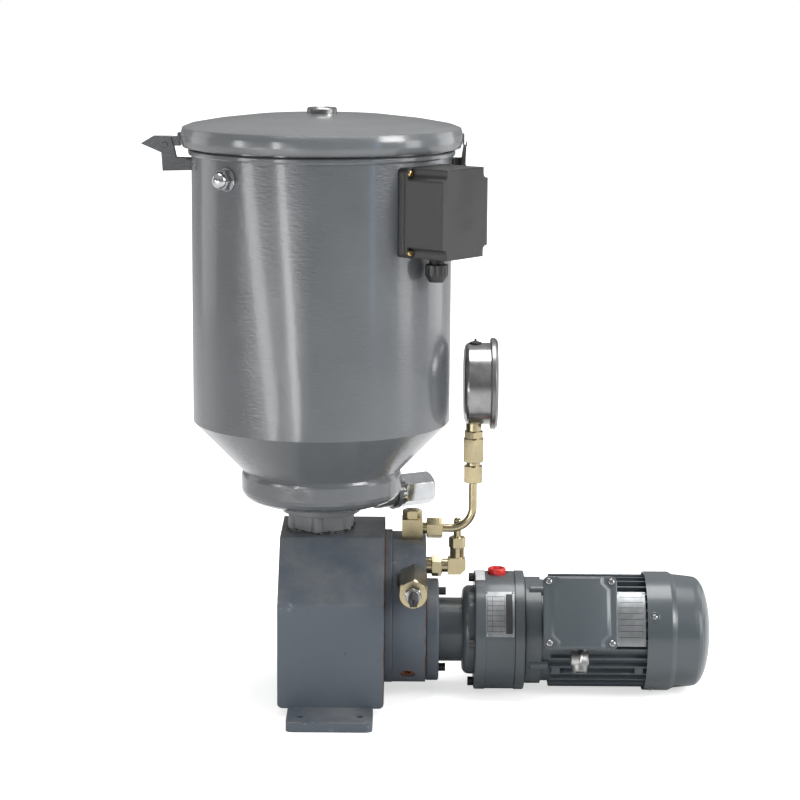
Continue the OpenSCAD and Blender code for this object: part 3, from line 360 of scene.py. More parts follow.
# %% Smooth paints
def smooth_paint(name, colour, roughness, coat, peel_depth, wear, dust, edge_round=0.0012):
    tree, ins = new_finish(name, Coat_Roughness=0.12, IOR=1.5, Coat_Weight=coat)
    film = use(tree, sprayed_paint)
    edge_chips_and_highlight = use(tree, edge_wear_and_highlight, Reach=0.0012, Patch_Size=75.0, Wear=wear)
    dusty = use(tree, settled_dust, Amount=dust)["Dust"]
    shade = tint(tree, span(tree, film["Cloud"], 0.3, 0.7), shades(colour, 0.93),
        shades(colour, 1.07))
    # Edges are painted in a lighter copy of the paint: a painted highlight.
    shade = tint(tree, maths(tree, "MULTIPLY", edge_chips_and_highlight["Edge"], 0.22), shade, shades(colour, 1.6))
    shade = tint(tree, edge_chips_and_highlight["Chips"], shade, BARE_IRON)
    shade = tint(tree, dusty, shade, DUST)
    feed(tree, ins, "Base Color", shade)
    gloss = span(tree, film["Cloud"], 0.25, 0.75, roughness - 0.03, roughness + 0.03)
    gloss = maths(tree, "ADD", gloss, maths(tree, "MULTIPLY", dusty, 0.4))
    feed(tree, ins, "Roughness", maths(tree, "ADD", gloss,
        maths(tree, "MULTIPLY", edge_chips_and_highlight["Chips"], 0.2)))
    bump = raise_surface(tree, ins, film["Peel"], peel_depth, edge_round)
    return tree, ins, bump


smooth_paint("lid_paint", (0.120, 0.128, 0.134), 0.22, 0.60, 0.00002, 0.30, 0.02, 0.006)
smooth_paint("motor_paint", (0.056, 0.069, 0.078), 0.38, 0.20, 0.00010, 0.42, 0.10)
smooth_paint("reducer_paint", (0.055, 0.067, 0.076), 0.34, 0.25, 0.00010, 0.45, 0.10)
smooth_paint("cowl_paint", (0.062, 0.075, 0.083), 0.32, 0.25, 0.00003, 0.40, 0.04)
TANK_COAT, DULLED_COAT = 0.45, 0.10
tree, ins, bump = smooth_paint("tank_paint", (0.103, 0.109, 0.116), 0.22, TANK_COAT, 0.00002,
    0.30, 0.03)
print("smooth paints", len(finishes))

# %% [markdown]
# ## Dent, waves and smear on the tank
# Rolled sheet is never quite round, and the two bright streaks show it: they wander, and their
# edges are ragged. Two noises under the paint's own bump do this, a broad one and a fine one
# that lies along the rolling direction. The collar also has a shallow dent at its front, left of
# the middle, and low on the right a thumb has dulled the enamel.

# %% Tank marks
DENT = dict(X=-0.036, Y=-0.088, Z=0.252)
SMEAR = dict(X=0.108, Y=-0.090, Z=0.400)
place = own_place(tree)
lying = add(tree, "Mapping", {"Vector": place, "Scale": (1.0, 1.0, 3.5)}).outputs[0]
dent = use(tree, local_mark, Radius=0.017, **DENT)["Ball"]
broad_waves = noise(tree, place, 6.0, 1.5, 0.4)
fine_waves = noise(tree, lying, 110.0, 3.0, 0.6)
tank_bumps = ((dent, 0.0022, True), (broad_waves, 0.0080, False), (fine_waves, 0.00040, False))
for height, depth, inwards in tank_bumps:
    made = add(tree, "Bump", {"Height": height, "Strength": 1.0, "Distance": depth},
        invert=inwards)
    tree.links.new(bump.inputs["Normal"].links[0].from_socket, made.inputs["Normal"])
    tree.links.new(made.outputs[0], bump.inputs["Normal"])
smear = use(tree, local_mark, Radius=0.030, Patch_Size=30.0, **SMEAR)["Ragged"]
feed(tree, ins, "Coat Weight", span(tree, smear, 0.0, 1.0, TANK_COAT, DULLED_COAT))
print("tank bumps", len(tank_bumps))

# %% [markdown]
# ## Paint on rough castings
# The castings have the lumpy skin under the paint, chips down to iron on their edges, and rust
# in two seams: between housing and flange, and between pump body and cover. Where the castings
# were handled, the paint is rubbed pale: beside the gauge block and along the front foot. Along
# the left of the housing's bend a pale line is a painted highlight, where the bend catches the
# light. Edges get a painted highlight in a lighter copy of the paint, and pits a painted shade in
# a darker one. A mark is a place and a radius in millimetres.

# %% Cast paint
def cast_paint(name, colour, seams, wear, rubbed_and_highlit=()):
    tree, ins = new_finish(name, Coat_Roughness=0.25, IOR=1.5, Coat_Weight=0.12)
    film = use(tree, sprayed_paint, Cloud_Size=13.0)
    casting = use(tree, cast_skin)
    edge_chips_and_highlight = use(tree, edge_wear_and_highlight, Reach=0.002, Patch_Size=55.0, Wear=wear)
    dusty = use(tree, settled_dust, Amount=0.35)["Dust"]
    shade = tint(tree, span(tree, film["Cloud"], 0.3, 0.7), shades(colour, 0.95),
        shades(colour, 1.05))
    # Edges are painted in a lighter copy of the paint: a painted highlight.
    shade = tint(tree, maths(tree, "MULTIPLY", edge_chips_and_highlight["Edge"], 0.3), shade, shades(colour, 1.7))
    # Pits are painted in a darker copy of the paint: a painted shade in the hollows.
    shade = tint(tree, casting["Pits"], shade, shades(colour, 0.55))
    rust = edge_chips_and_highlight["Chips"]
    shade = tint(tree, edge_chips_and_highlight["Chips"], shade, BARE_IRON)
    for station in seams:
        seam = use(tree, rusty_seam, Station=station * MM, Width=0.0016)["Rust"]
        shade = tint(tree, seam, shade, RUST)
        rust = maths(tree, "MAXIMUM", rust, seam)
    for x, y, z, radius in rubbed_and_highlit:
        mark = use(tree, local_mark, X=x * MM, Y=y * MM, Z=z * MM, Radius=radius * MM,
            Patch_Size=90.0)["Ragged"]
        # Pale marks: rubbed paint, and on the housing's bend a painted highlight.
        shade = tint(tree, maths(tree, "MULTIPLY", mark, 0.4), shade, RUBBED_PALE_AND_HIGHLIGHT)
    feed(tree, ins, "Base Color", tint(tree, dusty, shade, DUST))
    gloss = span(tree, film["Cloud"], 0.25, 0.75, 0.40, 0.54)
    feed(tree, ins, "Roughness", maths(tree, "ADD", gloss, maths(tree, "MULTIPLY", rust, 0.3)))
    raise_surface(tree, ins, casting["Skin"], 0.00030, 0.003)


CASTING_BLUE = (0.067, 0.082, 0.102)
SEAMS = [extent("pump_flange", X)[0], extent("pump_cover", X)[0]]
# First mark: paint rubbed pale beside the gauge block. The other three, along the housing's bend, are a painted
# highlight.
RUBBED_AND_BEND_HIGHLIGHT = [(84, -62, 172, 18), (-62, -130, 134, 11), (-50, -130, 134, 9), (-38, -130, 134, 7)]
FOOT_MARKS = [(-40, -133, 12, 9), (-22, -133, 12, 6), (-4, -133, 12, 8), (24, -133, 12, 7),
    (44, -188, 6, 13), (2, -190, 2, 5), (-30, -190, 11, 5)]
cast_paint("cast_paint", CASTING_BLUE, SEAMS, 0.5, RUBBED_AND_BEND_HIGHLIGHT)
cast_paint("foot_paint", CASTING_BLUE, [], 0.8, FOOT_MARKS)
cast_paint("neck_paint", (0.125, 0.132, 0.137), [], 0.35)
print("cast paints", len(finishes))

# %% [markdown]
# ## Bare and plated metals
# Screws and the hinge pin are plain steel, the gauge and caps are polished or chromed, and the
# fittings are zinc plated with a yellow passivation that ranges from straw to brown.

# %% Metals
def metal(name, colour, second, roughness, stain=0.0, ring_depth=0.000003):
    tree, ins = new_finish(name, Metallic=1.0)
    marks = use(tree, tool_marks)
    edge_chips_and_highlight = use(tree, edge_wear_and_highlight, Reach=0.0006, Patch_Size=120.0, Wear=0.4)
    shade = tint(tree, span(tree, marks["Blotch"], 0.3, 0.7), colour, second)
    # Edges are painted in a lighter copy of the metal: a painted highlight.
    shade = tint(tree, maths(tree, "MULTIPLY", edge_chips_and_highlight["Edge"], 0.35), shade, shades(colour, 1.25))
    stained = maths(tree, "MULTIPLY", marks["Stain"], stain)
    feed(tree, ins, "Base Color", tint(tree, stained, shade, RUST))
    gloss = span(tree, marks["Rings"], 0.3, 0.7, roughness - 0.02, roughness + 0.04)
    feed(tree, ins, "Roughness", maths(tree, "ADD", gloss,
        maths(tree, "MULTIPLY", stained, 0.3)))
    raise_surface(tree, ins, marks["Rings"], ring_depth, 0.0006)


metal("bright_steel", (0.38, 0.38, 0.38, 1), (0.27, 0.27, 0.27, 1), 0.22)
metal("chrome_steel", (0.55, 0.56, 0.57, 1), (0.46, 0.47, 0.48, 1), 0.10)
metal("nickel_plate", (0.27, 0.27, 0.26, 1), (0.20, 0.20, 0.20, 1), 0.32)
metal("zinc_fitting", (0.48, 0.405, 0.245, 1), (0.38, 0.33, 0.215, 1), 0.21, 0.10)
metal("brass", (0.62, 0.46, 0.19, 1), (0.50, 0.36, 0.14, 1), 0.31, 0.12)
metal("plate_metal", (0.33, 0.34, 0.35, 1), (0.21, 0.22, 0.225, 1), 0.42)
print("metals", len(finishes))

# %% [markdown]
# ## Black steel, plastics, rubber and rust
# The socket screws and the valve's stud are blackened. The level switch box is charcoal plastic,
# the fan and gland are black plastic, and the oil plug is red. The lower port's plug is rusted,
# and the sealant under the neck is grey with dark gaps.

# %% Dark and coloured finishes
def moulded(name, colour, roughness, grain_depth, grain_size=1600.0, dust=0.06, edge=1.5,
        edge_round=0.0015):
    tree, ins = new_finish(name, IOR=1.5)
    grain = use(tree, moulded_grain, Grain_Size=grain_size)
    edge_chips_and_highlight = use(tree, edge_wear_and_highlight, Reach=0.0010, Patch_Size=70.0, Wear=0.2)
    dusty = use(tree, settled_dust, Amount=dust)["Dust"]
    shade = tint(tree, span(tree, grain["Shade"], 0.3, 0.7), shades(colour, 0.9),
        shades(colour, 1.12))
    # Edges are painted lighter by the edge factor: a painted highlight.
    shade = tint(tree, maths(tree, "MULTIPLY", edge_chips_and_highlight["Edge"], 0.4), shade, shades(colour, edge))
    feed(tree, ins, "Base Color", tint(tree, dusty, shade, DUST))
    gloss = span(tree, grain["Shade"], 0.25, 0.75, roughness - 0.05, roughness + 0.05)
    feed(tree, ins, "Roughness", maths(tree, "ADD", gloss, maths(tree, "MULTIPLY", dusty, 0.3)))
    raise_surface(tree, ins, grain["Grain"], grain_depth, edge_round)


moulded("grey_plastic", (0.024, 0.0235, 0.024), 0.36, 0.00005, edge=1.9, edge_round=0.0035)
moulded("black_plastic", (0.018, 0.018, 0.019), 0.36, 0.00003)
moulded("black_rubber", (0.016, 0.016, 0.016), 0.62, 0.00004)
moulded("red_plastic", (0.62, 0.022, 0.018), 0.28, 0.00002, edge=1.2)
moulded("black_steel", (0.024, 0.024, 0.026), 0.36, 0.00003, 700.0, edge=4.0)
moulded("pale_label", (0.62, 0.62, 0.63), 0.45, 0.00001, 300.0, edge=1.05)
moulded("dial_white", (0.80, 0.80, 0.78), 0.45, 0.00001, 600.0, 0.0, 1.05)
moulded("dial_ink", (0.02, 0.02, 0.022), 0.50, 0.00001, 600.0, 0.0, 1.2)

tree, ins = new_finish("sealant", Roughness=0.42)
gaps = span(tree, noise(tree, own_place(tree), 55.0, 5.0, 0.75), 0.38, 0.50)
feed(tree, ins, "Base Color", tint(tree, gaps, (0.115, 0.118, 0.118, 1),
    (0.016, 0.013, 0.011, 1)))

tree, ins = new_finish("rusty_plug", Specular_IOR_Level=0.3)
casting = use(tree, cast_skin, Grain_Size=420.0)
mottle = noise(tree, own_place(tree), 130.0, 6.0, 0.7)
feed(tree, ins, "Base Color", tint(tree, span(tree, mottle, 0.35, 0.65),
    (0.20, 0.085, 0.045, 1), (0.075, 0.034, 0.022, 1)))
feed(tree, ins, "Roughness", span(tree, mottle, 0.3, 0.7, 0.62, 0.88))
raise_surface(tree, ins, casting["Skin"], 0.0005)
print("finishes", len(finishes))

# %% [markdown]
# ## Glass of the gauge
# Clear glass needs its full transmission and a plain roughness. A faint smear is kept in the
# bump only, so that the dial behind it stays sharp.

# %% Glass
tree, ins = new_finish("gauge_glass", Transmission_Weight=1.0, IOR=1.45, Roughness=0.02,
    Base_Color=(0.93, 0.97, 0.96, 1.0))
raise_surface(tree, ins, noise(tree, own_place(tree), 60.0, 2.0), 0.00002)
print("glass ready")

# %% [markdown]
# ## Finishes go on the CAD parts
# The record names one material slot for each node. The new materials have the same names, so
# most parts only look theirs up. A few parts of one slot differ in the photograph, such as the
# glossier fan cowl and the neck in the tank's grey, and these are listed by name. A slot without
# a finish would stop here with its name.

# %% Assign finishes to the nodes
slot_of = {row["node"]: row["material_slot"] for row in frame["record"]["subparts"]}
own_finish = {"fan_cowl": "cowl_paint", "tank_neck": "neck_paint",
    "mounting_feet": "foot_paint", "gauge_bezel": "nickel_plate", "lid_vent_plug": "nickel_plate"}
for name, part in nodes.items():
    part.data.materials.clear()
    part.data.materials.append(finishes[own_finish.get(name, slot_of[name])])
print("finishes on", len(nodes), "nodes")

# %% [markdown]
# ## Small pieces are stacks of rings
# Screws, glands, nuts and plates are drawn as rings of points in millimetres, joined one to the
# next. A ring may be round, hexagonal, lobed or any outline, so one way of building makes a
# domed nut, a cross recess and a pressed cover. Each stack is closed, as the real piece is.

# %% Ring and loft helpers
STEPS = 48


def ring(radius, height, lobes=0, depth=0.0, steps=STEPS):
    """Round ring. With lobes, the radius waves in and out by depth."""
    points = []
    for i in range(steps):
        angle = 2 * math.pi * i / steps
        r = radius + depth * math.cos(lobes * angle) if lobes else radius
        points.append((r * math.cos(angle), r * math.sin(angle), height))
    return points


def hexagon(across, height, limit=math.inf):
    """Hexagonal ring. A limit on the radius turns its corners off."""
    points = []
    for i in range(STEPS):
        angle = 2 * math.pi * i / STEPS
        side = (angle + math.pi / 6) % (math.pi / 3) - math.pi / 6
        r = min(across / 2 / math.cos(side), limit)
        points.append((r * math.cos(angle), r * math.sin(angle), height))
    return points


def cross(arm, width, height):
    """Ring of a cross recess: four arms with a narrow waist between them."""
    points = []
    for i in range(STEPS):
        angle = 2 * math.pi * i / STEPS
        near_arm = abs(math.cos(2 * angle)) > 0.90
        r = arm if near_arm else width
        points.append((r * math.cos(angle), r * math.sin(angle), height))
    return points


def rounded(half_x, half_y, corner, height, steps=8):
    """Rectangle with round corners."""
    points = []
    for k, (sx, sy) in enumerate([(1, 1), (-1, 1), (-1, -1), (1, -1)]):
        for i in range(steps + 1):
            angle = math.pi / 2 * (k + i / steps)
            points.append((sx * (half_x - corner) + corner * math.cos(angle),
                sy * (half_y - corner) + corner * math.sin(angle), height))
    return points


def outline(points, height):
    return [(x, y, height) for x, y in points]


def slab(centre, half_x, half_y, low, high):
    """Block between two heights, with its middle at centre along X."""
    left, right = centre - half_x, centre + half_x
    corners = [(left, -half_y), (right, -half_y), (right, half_y), (left, half_y)]
    return [outline(corners, low), outline(corners, high)]


def loft(mesh, rings, closed_path=False):
    """Joins rings of the same length. Its two ends are capped unless the path closes."""
    rows = [[mesh.verts.new(point) for point in row] for row in rings]
    count = len(rows[0])
    pairs = list(zip(rows, rows[1:]))
    if closed_path:
        pairs.append((rows[-1], rows[0]))
    for low, high in pairs:
        for i in range(count):
            j = (i + 1) % count
            mesh.faces.new((low[i], low[j], high[j], high[i]))
    if not closed_path:
        mesh.faces.new(list(reversed(rows[0])))
        mesh.faces.new(rows[-1])


print("helpers ready, rings of", STEPS)

# %% [markdown]
# ## From rings to a piece
# A piece gets its stacks, the frame it stands in, a finish and the body that it rides on. Its
# points are written in the shared frame in metres, so every piece's own place is the origin.

# %% Piece helper
SCALE = Matrix.Diagonal((MM, MM, MM, 1.0))


def at(x, y, z, *turns):
    """Frame at a point in millimetres, turned by pairs of degrees and axis."""
    place = Matrix.Translation((x, y, z))
    for degrees, axis in turns:
        place = place @ Matrix.Rotation(math.radians(degrees), 4, axis)
    return place


def piece(name, stacks, places, finish, stands_for=None, body="body", bevel=0.0,
        closed_path=False):
    """Builds each stack once in every place, attaches the result to its body and hides the part it stands for."""
    mesh = bmesh.new()
    for place in places:
        part = bmesh.new()
        for rings in stacks:
            loft(part, rings, closed_path)
        part.transform(SCALE @ place)
        copy = bpy.data.meshes.new("copy")
        part.to_mesh(copy)
        part.free()
        mesh.from_mesh(copy)
        bpy.data.meshes.remove(copy)
    bmesh.ops.recalc_face_normals(mesh, faces=mesh.faces)
    data = bpy.data.meshes.new(name)
    mesh.to_mesh(data)
    mesh.free()
    data.shade_smooth()
    data.set_sharp_from_angle(angle=math.radians(38))
    data.materials.append(finishes[finish])
    made = bpy.data.objects.new(name, data)
    bpy.context.collection.objects.link(made)
    if bevel:
        softened = made.modifiers.new("bevel", "BEVEL")
        softened.width = bevel * MM
        softened.segments = 3
        softened.limit_method = "ANGLE"
        softened.angle_limit = math.radians(25)
    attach(made, body)
    if stands_for:
        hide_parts(stands_for)
    return made


def pan_head(radius, height):
    """Domed screw head with a cross recess."""
    return [[ring(radius, 0), ring(radius, height * 0.4), ring(radius * 0.93, height * 0.7),
        ring(radius * 0.72, height * 0.93), cross(radius * 0.55, radius * 0.30, height),
        cross(radius * 0.50, radius * 0.24, height * 0.35)]]


print("piece helper ready")

# %% [markdown]
# ## Terminal box cover
# The cover is pressed from sheet: a flat rim with rounded corners, and a raised panel that runs
# to the upper and lower edges and steps back round the four screws. The CAD keeps a plain
# plate, so this piece stands for it. Four cross head screws hold it.

# %% Terminal cover and its screws
TERM_TILT, TERM_TOP = 26.0, 108.4
TERM_X = centre_of("terminal_cover", X)
term_frame = at(TERM_X, 0, AXIS_Z, (90 - TERM_TILT, "X"))
cover_half = extent("terminal_cover", X)[1] - TERM_X


def pressed_panel(side, end, neck, height):
    """Outline of the raised panel. Side and neck are half widths, end is the half height."""
    quarter = [(side, end - 14.5), (neck, end - 7), (neck, end)]
    right = [(x, -y) for x, y in reversed(quarter)] + quarter
    return outline(right + [(-x, -y) for x, y in right], height)


rim = [rounded(cover_half, cover_half, 7, 0), rounded(cover_half, cover_half, 7, 3.4),
    rounded(cover_half - 0.9, cover_half - 0.9, 6.1, 4.4)]
panel = [pressed_panel(36.2, 43.3, 28.6, 3.5), pressed_panel(35.4, 42.9, 27.9, 4.6),
    pressed_panel(31.4, 41.0, 24.0, 6.5)]
piece("terminal_cover_pressed", [rim, panel], [term_frame @ at(0, 0, TERM_TOP)], "motor_paint",
    "terminal_cover", bevel=0.7)
corners = [(sx * 37.2, sy * 37.2) for sx in (-1, 1) for sy in (-1, 1)]
piece("terminal_cover_screws", pan_head(4.0, 2.4),
    [term_frame @ at(x, y, TERM_TOP + 4.3) for x, y in corners], "bright_steel")
print("cover screws", len(corners))

# %% [markdown]
# ## Terminal box gland
# A short neck, a hexagonal compression nut and a domed end in nickel plated brass, with the
# cable's mouth left open below.

# %% Terminal gland
gland_frame = term_frame @ at(0, -37, 87.4, (90, "X"))
neck = [ring(10.2, -2), ring(10.2, 3.6), ring(9.2, 4.4), ring(9.2, 7.5)]
nut = [hexagon(20, 7, 11.0), hexagon(21.5, 8.4, 12.2), hexagon(21.5, 21.5, 12.2),
    hexagon(20, 23.0, 10.6), ring(9.8, 24.4), ring(9.4, 28.4), ring(8.3, 30.6), ring(5.6, 30.6),
    ring(5.4, 22.0)]
piece("terminal_gland_nut", [neck, nut], [gland_frame], "nickel_plate",
    "terminal_gland")
print("gland ready")

# %% [markdown]
# ## Level switch box fittings
# Two kinds of detail: brass screws at the ends of the four open channels, and a black gland
# whose cap is ribbed for the fingers. The gland stands for the plain CAD one.

# %% Switch box screws and gland
TANK_R, BOX_TURN = 155.0, -38
BOX_Z = centre_of("sensor_box_base", Z)
box_frame = at(TANK_X, 0, BOX_Z, (BOX_TURN, "Z"))
BOX_FLOOR, BOX_Y, BOX_H = TANK_R + 8, 38.8, 45.4
piece("switch_box_screws", pan_head(3.7, 2.6),
    [box_frame @ at(BOX_FLOOR, sy * BOX_Y, sz * BOX_H, (90, "Y"))
        for sy in (-1, 1) for sz in (-1, 1)], "brass")

gland_down = box_frame @ at(TANK_R + 18, 0, -51.5, (180, "X"))
lock_nut = [hexagon(24, 0), hexagon(24, 3.2, 13.4), hexagon(23, 4.0, 12.4)]
thread = [ring(9.4, 3.5)] + [ring(9.4 - 0.5 * (i % 2), 4 + 0.7 * i) for i in range(8)]
ribs = 16
cap = [ring(11.8, 9), ring(12.9, 9.8, ribs, 0.5), ring(12.9, 21.0, ribs, 0.5),
    ring(12.5, 23.0, ribs, 0.35), ring(11.6, 25.5), ring(10.3, 28.2), ring(9.0, 29.8),
    ring(5.7, 29.8), ring(5.5, 20.0)]
piece("switch_gland_ribbed", [lock_nut, thread, cap], [gland_down], "black_plastic",
    "sensor_gland")
print("switch box fittings", 5)

# %% [markdown]
# ## Relief valve's stud and lock nut
# The adjusting stud is a threaded rod with a screwdriver slot. Its thread is a ring stack whose
# radius follows a helix, so the crests wind round as a real thread's do. A silver lock nut and
# washer hold the setting.

# %% Threaded stud
VALVE_X, VALVE_Z = centre_of("relief_valve_body", X), centre_of("relief_valve_body", Z)
valve_frame = at(VALVE_X, extent("relief_valve_body", Y)[0], VALVE_Z, (90, "X"))


def threaded(radius, pitch, depth, start, stop, steps=24):
    """Rod whose surface follows a helical thread of one start."""
    rows = []
    rise = pitch / 6
    for k in range(int((stop - start) / rise) + 1):
        height = start + k * rise
        row = []
        for i in range(steps):
            turn = i / steps
            wave = abs(((height / pitch - turn) % 1.0) * 2 - 1)
            r = radius - depth * wave
            row.append((r * math.cos(2 * math.pi * turn), r * math.sin(2 * math.pi * turn),
                height))
        rows.append(row)
    return rows


stud = threaded(6.0, 1.75, 0.85, 0, 33)
tip = [ring(5.2, 33, steps=24), ring(5.2, 36.5, steps=24), ring(4.4, 38, steps=24)]
slot_walls = [slab(x, 1.7, 4.2, 37.0, 39.8) for x in (-2.6, 2.6)]
piece("relief_stud", [stud, tip] + slot_walls, [valve_frame], "black_steel",
    "relief_adjuster")
lock = [hexagon(17, 0.2, 9.2), hexagon(18, 1.0, 10.0), hexagon(18, 6.4, 10.0),
    hexagon(17, 7.2, 8.8), ring(7.4, 7.6), ring(7.2, 9.4), ring(6.2, 9.6)]
piece("relief_lock_nut", [lock], [valve_frame @ at(0, 0, 0, (12, "Z"))], "bright_steel",
    "relief_adjuster")
print("thread rows", len(stud))

# %% [markdown]
# ## Red oil plug
# The plug on top of the reducer has a milled rim to grip and a lobed recess for a key.

# %% Oil plug
PLUG_SEAT = 0.2
oil_frame = at(centre_of("oil_plug", X), 0, extent("oil_plug", Z)[0] + PLUG_SEAT)
oil_rings = [ring(10.6, -1.6), ring(11, -0.4, 24, 0.18), ring(11, 5.6, 24, 0.18), ring(10.2, 6.9),
    ring(8.4, 7.2), ring(7.6, 7.0), ring(6.4, 3.6, 6, 0.9), ring(5.8, 2.2, 6, 0.9)]
piece("oil_plug_milled", [oil_rings], [oil_frame], "red_plastic", "oil_plug")
print("oil plug rings", len(oil_rings))

# %% [markdown]
# ## Nameplates and label
# Two thin metal plates are bent round the castings and riveted at their corners, and a small
# paper label sticks on the reducer's flange. Real plates name the maker; these stay bare, with
# a dark band on one and thin ruled lines as on a blank form.

# %% Bent plates
def bent(radius, x0, x1, low, high, lift, thickness, steps=16):
    """Plate bent round the drive axis. Angles run up from the front's horizontal."""
    rows = []
    for i in range(steps + 1):
        angle = math.radians(low + (high - low) * i / steps)
        inner, outer = radius + lift, radius + lift + thickness
        rows.append([(x, -r * math.cos(angle), AXIS_Z + r * math.sin(angle))
            for x, r in ((x0, inner), (x1, inner), (x1, outer), (x0, outer))])
    return rows


def on_cylinder(radius, x, angle):
    """Frame on the drive cylinder whose own Z points outwards."""
    return at(x, 0, AXIS_Z, (90 - angle, "X")) @ at(0, 0, radius)


REDUCER_R, FIN_R = 72.1, 68.9
COWL_R = extent("fan_cowl", Y)[1]
RULE_LIFT, RULE_THICK, RULE_WIDE, RULE_TURN = 0.58, 0.05, 0.45, 0.45
TABLE_X0, TABLE_X1 = 186.6, 208.0
HERE = [Matrix.Identity(4)]
piece("reducer_nameplate", [bent(REDUCER_R, 184.6, 219.8, 8, 54, 0.1, 0.5)], HERE,
    "plate_metal")
piece("reducer_plate_band", [bent(REDUCER_R, 209.4, 217.4, 11, 51, 0.55, 0.12)], HERE,
    "dial_ink")
rules = [bent(REDUCER_R, TABLE_X0, TABLE_X1, a, a + RULE_TURN, RULE_LIFT, RULE_THICK, 1)
    for a in range(13, 52, 5)]
rules += [bent(REDUCER_R, x, x + RULE_WIDE, 13, 48.4, RULE_LIFT, RULE_THICK)
    for x in (TABLE_X0, 193.0, 207.8)]
piece("reducer_plate_rules", rules, HERE, "dial_ink")
rivet = [[ring(1.3, 0, steps=16), ring(1.3, 0.3, steps=16), ring(0.9, 0.75, steps=16),
    ring(0.3, 0.9, steps=16)]]
piece("reducer_plate_rivets", rivet, [on_cylinder(REDUCER_R + 0.5, x, a)
    for x in (TABLE_X0, 217.9) for a in (9.5, 52.5)], "bright_steel")
piece("motor_nameplate", [bent(FIN_R, 342.2, 378.0, -1, 57, 0.15, 0.5)], HERE, "plate_metal")
rules = [bent(FIN_R, 346.0, 375.0, a, a + RULE_TURN, 0.62, RULE_THICK, 1)
    for a in range(8, 52, 6)]
piece("motor_plate_rules", rules, HERE, "dial_ink")
piece("motor_plate_rivets", rivet, [on_cylinder(FIN_R + 0.6, x, a)
    for x in (344.4, 376.2) for a in (1, 55)], "bright_steel")
piece("reducer_label", [bent(72.9, 173.6, 185.2, 70, 98, 0.05, 0.15)], HERE, "pale_label")
print("plates and label", 3)

# %% [markdown]
# ## Fan cowl screws and motor pads
# Four screws sit in pressed dimples round the cowl's lip. Two small cast pads bridge the
# lowest fins, where such a motor can take feet.

# %% Cowl screws and pads
cowl_angles = [28, 118, 208, 298]
dimple = [[ring(6.4, -0.6), ring(6.4, 0.0), ring(5.9, 0.35), ring(5.0, 0.4), ring(4.3, -0.3)]]
screw_x = extent("fan_cowl", X)[0] + 8.4
piece("cowl_dimples", dimple, [on_cylinder(COWL_R, screw_x, a) for a in cowl_angles],
    "cowl_paint")
piece("cowl_screws", pan_head(3.4, 1.9), [on_cylinder(COWL_R - 0.25, screw_x, a)
    for a in cowl_angles], "bright_steel")
pad = [[rounded(5.2, 5.2, 1.2, -7), rounded(5.2, 5.2, 1.2, 0.4)]]
pad_angles = [-30, 210]
piece("motor_pads", pad, [on_cylinder(FIN_R, x, a) for x in (270.5, 371.0) for a in pad_angles],
    "motor_paint", bevel=0.6)
print("cowl screws", len(cowl_angles), "pads", 2 * len(pad_angles))

# %% [markdown]
# ## Sealant round the neck
# Where the neck stands on the housing, an uneven bead was run by hand and painted over. The
# bead follows the neck's ribs; its size and place wander with a fixed random seed.

# %% Sealant bead
NECK_R, RIB_CIRCLE, RIB_R = 39.0, 36.0, 7.0
RIB_STEP, RIB_TURN = 60, 155
HOUSING_TOP = extent("gear_housing", Z)[1]
random.seed(7)
around = 180
sway = [random.uniform(-1, 1) for _ in range(around)]
bead = []
for i in range(around):
    angle = 2 * math.pi * i / around
    rib = (math.degrees(angle) + RIB_TURN) % RIB_STEP
    away = math.radians(min(rib, RIB_STEP - rib))
    inside = RIB_R ** 2 - (RIB_CIRCLE * math.sin(away)) ** 2
    radius = NECK_R
    if inside > 0:
        radius = max(radius, RIB_CIRCLE * math.cos(away) + math.sqrt(inside))
    rough = sum(sway[(i + k) % around] for k in range(-1, 2)) / 3
    size = 2.0 + 0.9 * rough
    row = []
    for k in range(10):
        turn = 2 * math.pi * k / 10
        reach = radius + 0.8 + size * math.cos(turn)
        row.append((reach * math.cos(angle), reach * math.sin(angle),
            HOUSING_TOP + 0.4 + 0.5 * rough + size * math.sin(turn)))
    bead.append(row)
piece("neck_sealant", [bead], [at(TANK_X, 0, 0)], "sealant", closed_path=True)
print("bead sections", around)

# %% [markdown]
# ## Gauge scale
# The dial shows 0 to 40 in plain numbers over 270 degrees, as pressure gauges do. Marks and
# numbers are raised by a tenth of a millimetre, so they are real pieces and not a picture.

# %% Dial marks and numbers
MARK_OUT, MARK_THICK, NUMBER_CIRCLE = 41.5, 0.12, 30.0
FIRST_MARK, SWEEP, HIGHEST = -135, 270, 4
dial_frame = at(extent("gauge_dial", X)[1] + 0.05, 0, GAUGE_Z, (90, "Z"), (90, "X"))
upright = dial_frame.to_quaternion().to_matrix().to_4x4()

for label, count, inner, width in (("dial_long_marks", 9, 36.0, 0.35),
        ("dial_short_marks", 41, 38.6, 0.16)):
    places = [dial_frame @ at(0, 0, 0, (FIRST_MARK - SWEEP * i / (count - 1), "Z"))
        for i in range(count)]
    tick = slab((inner + MARK_OUT) / 2, (MARK_OUT - inner) / 2, width, 0, MARK_THICK)
    piece(label, [tick], places, "dial_ink")

for i in range(HIGHEST + 1):
    text = bpy.data.curves.new("dial_number_%d" % i, "FONT")
    text.body = str(10 * i)
    text.size = 8.5 * MM
    text.extrude = 0.06 * MM
    text.align_x = "CENTER"
    text.align_y = "CENTER"
    text.materials.append(finishes["dial_ink"])
    number = bpy.data.objects.new("dial_number_%d" % i, text)
    bpy.context.collection.objects.link(number)
    angle = math.radians(FIRST_MARK - SWEEP * i / HIGHEST)
    spot = dial_frame @ Vector((NUMBER_CIRCLE * math.cos(angle),
        NUMBER_CIRCLE * math.sin(angle), 0.08))
    number.matrix_world = Matrix.Translation(spot * MM) @ upright
    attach(number, "body")
print("dial numbers", HIGHEST + 1)

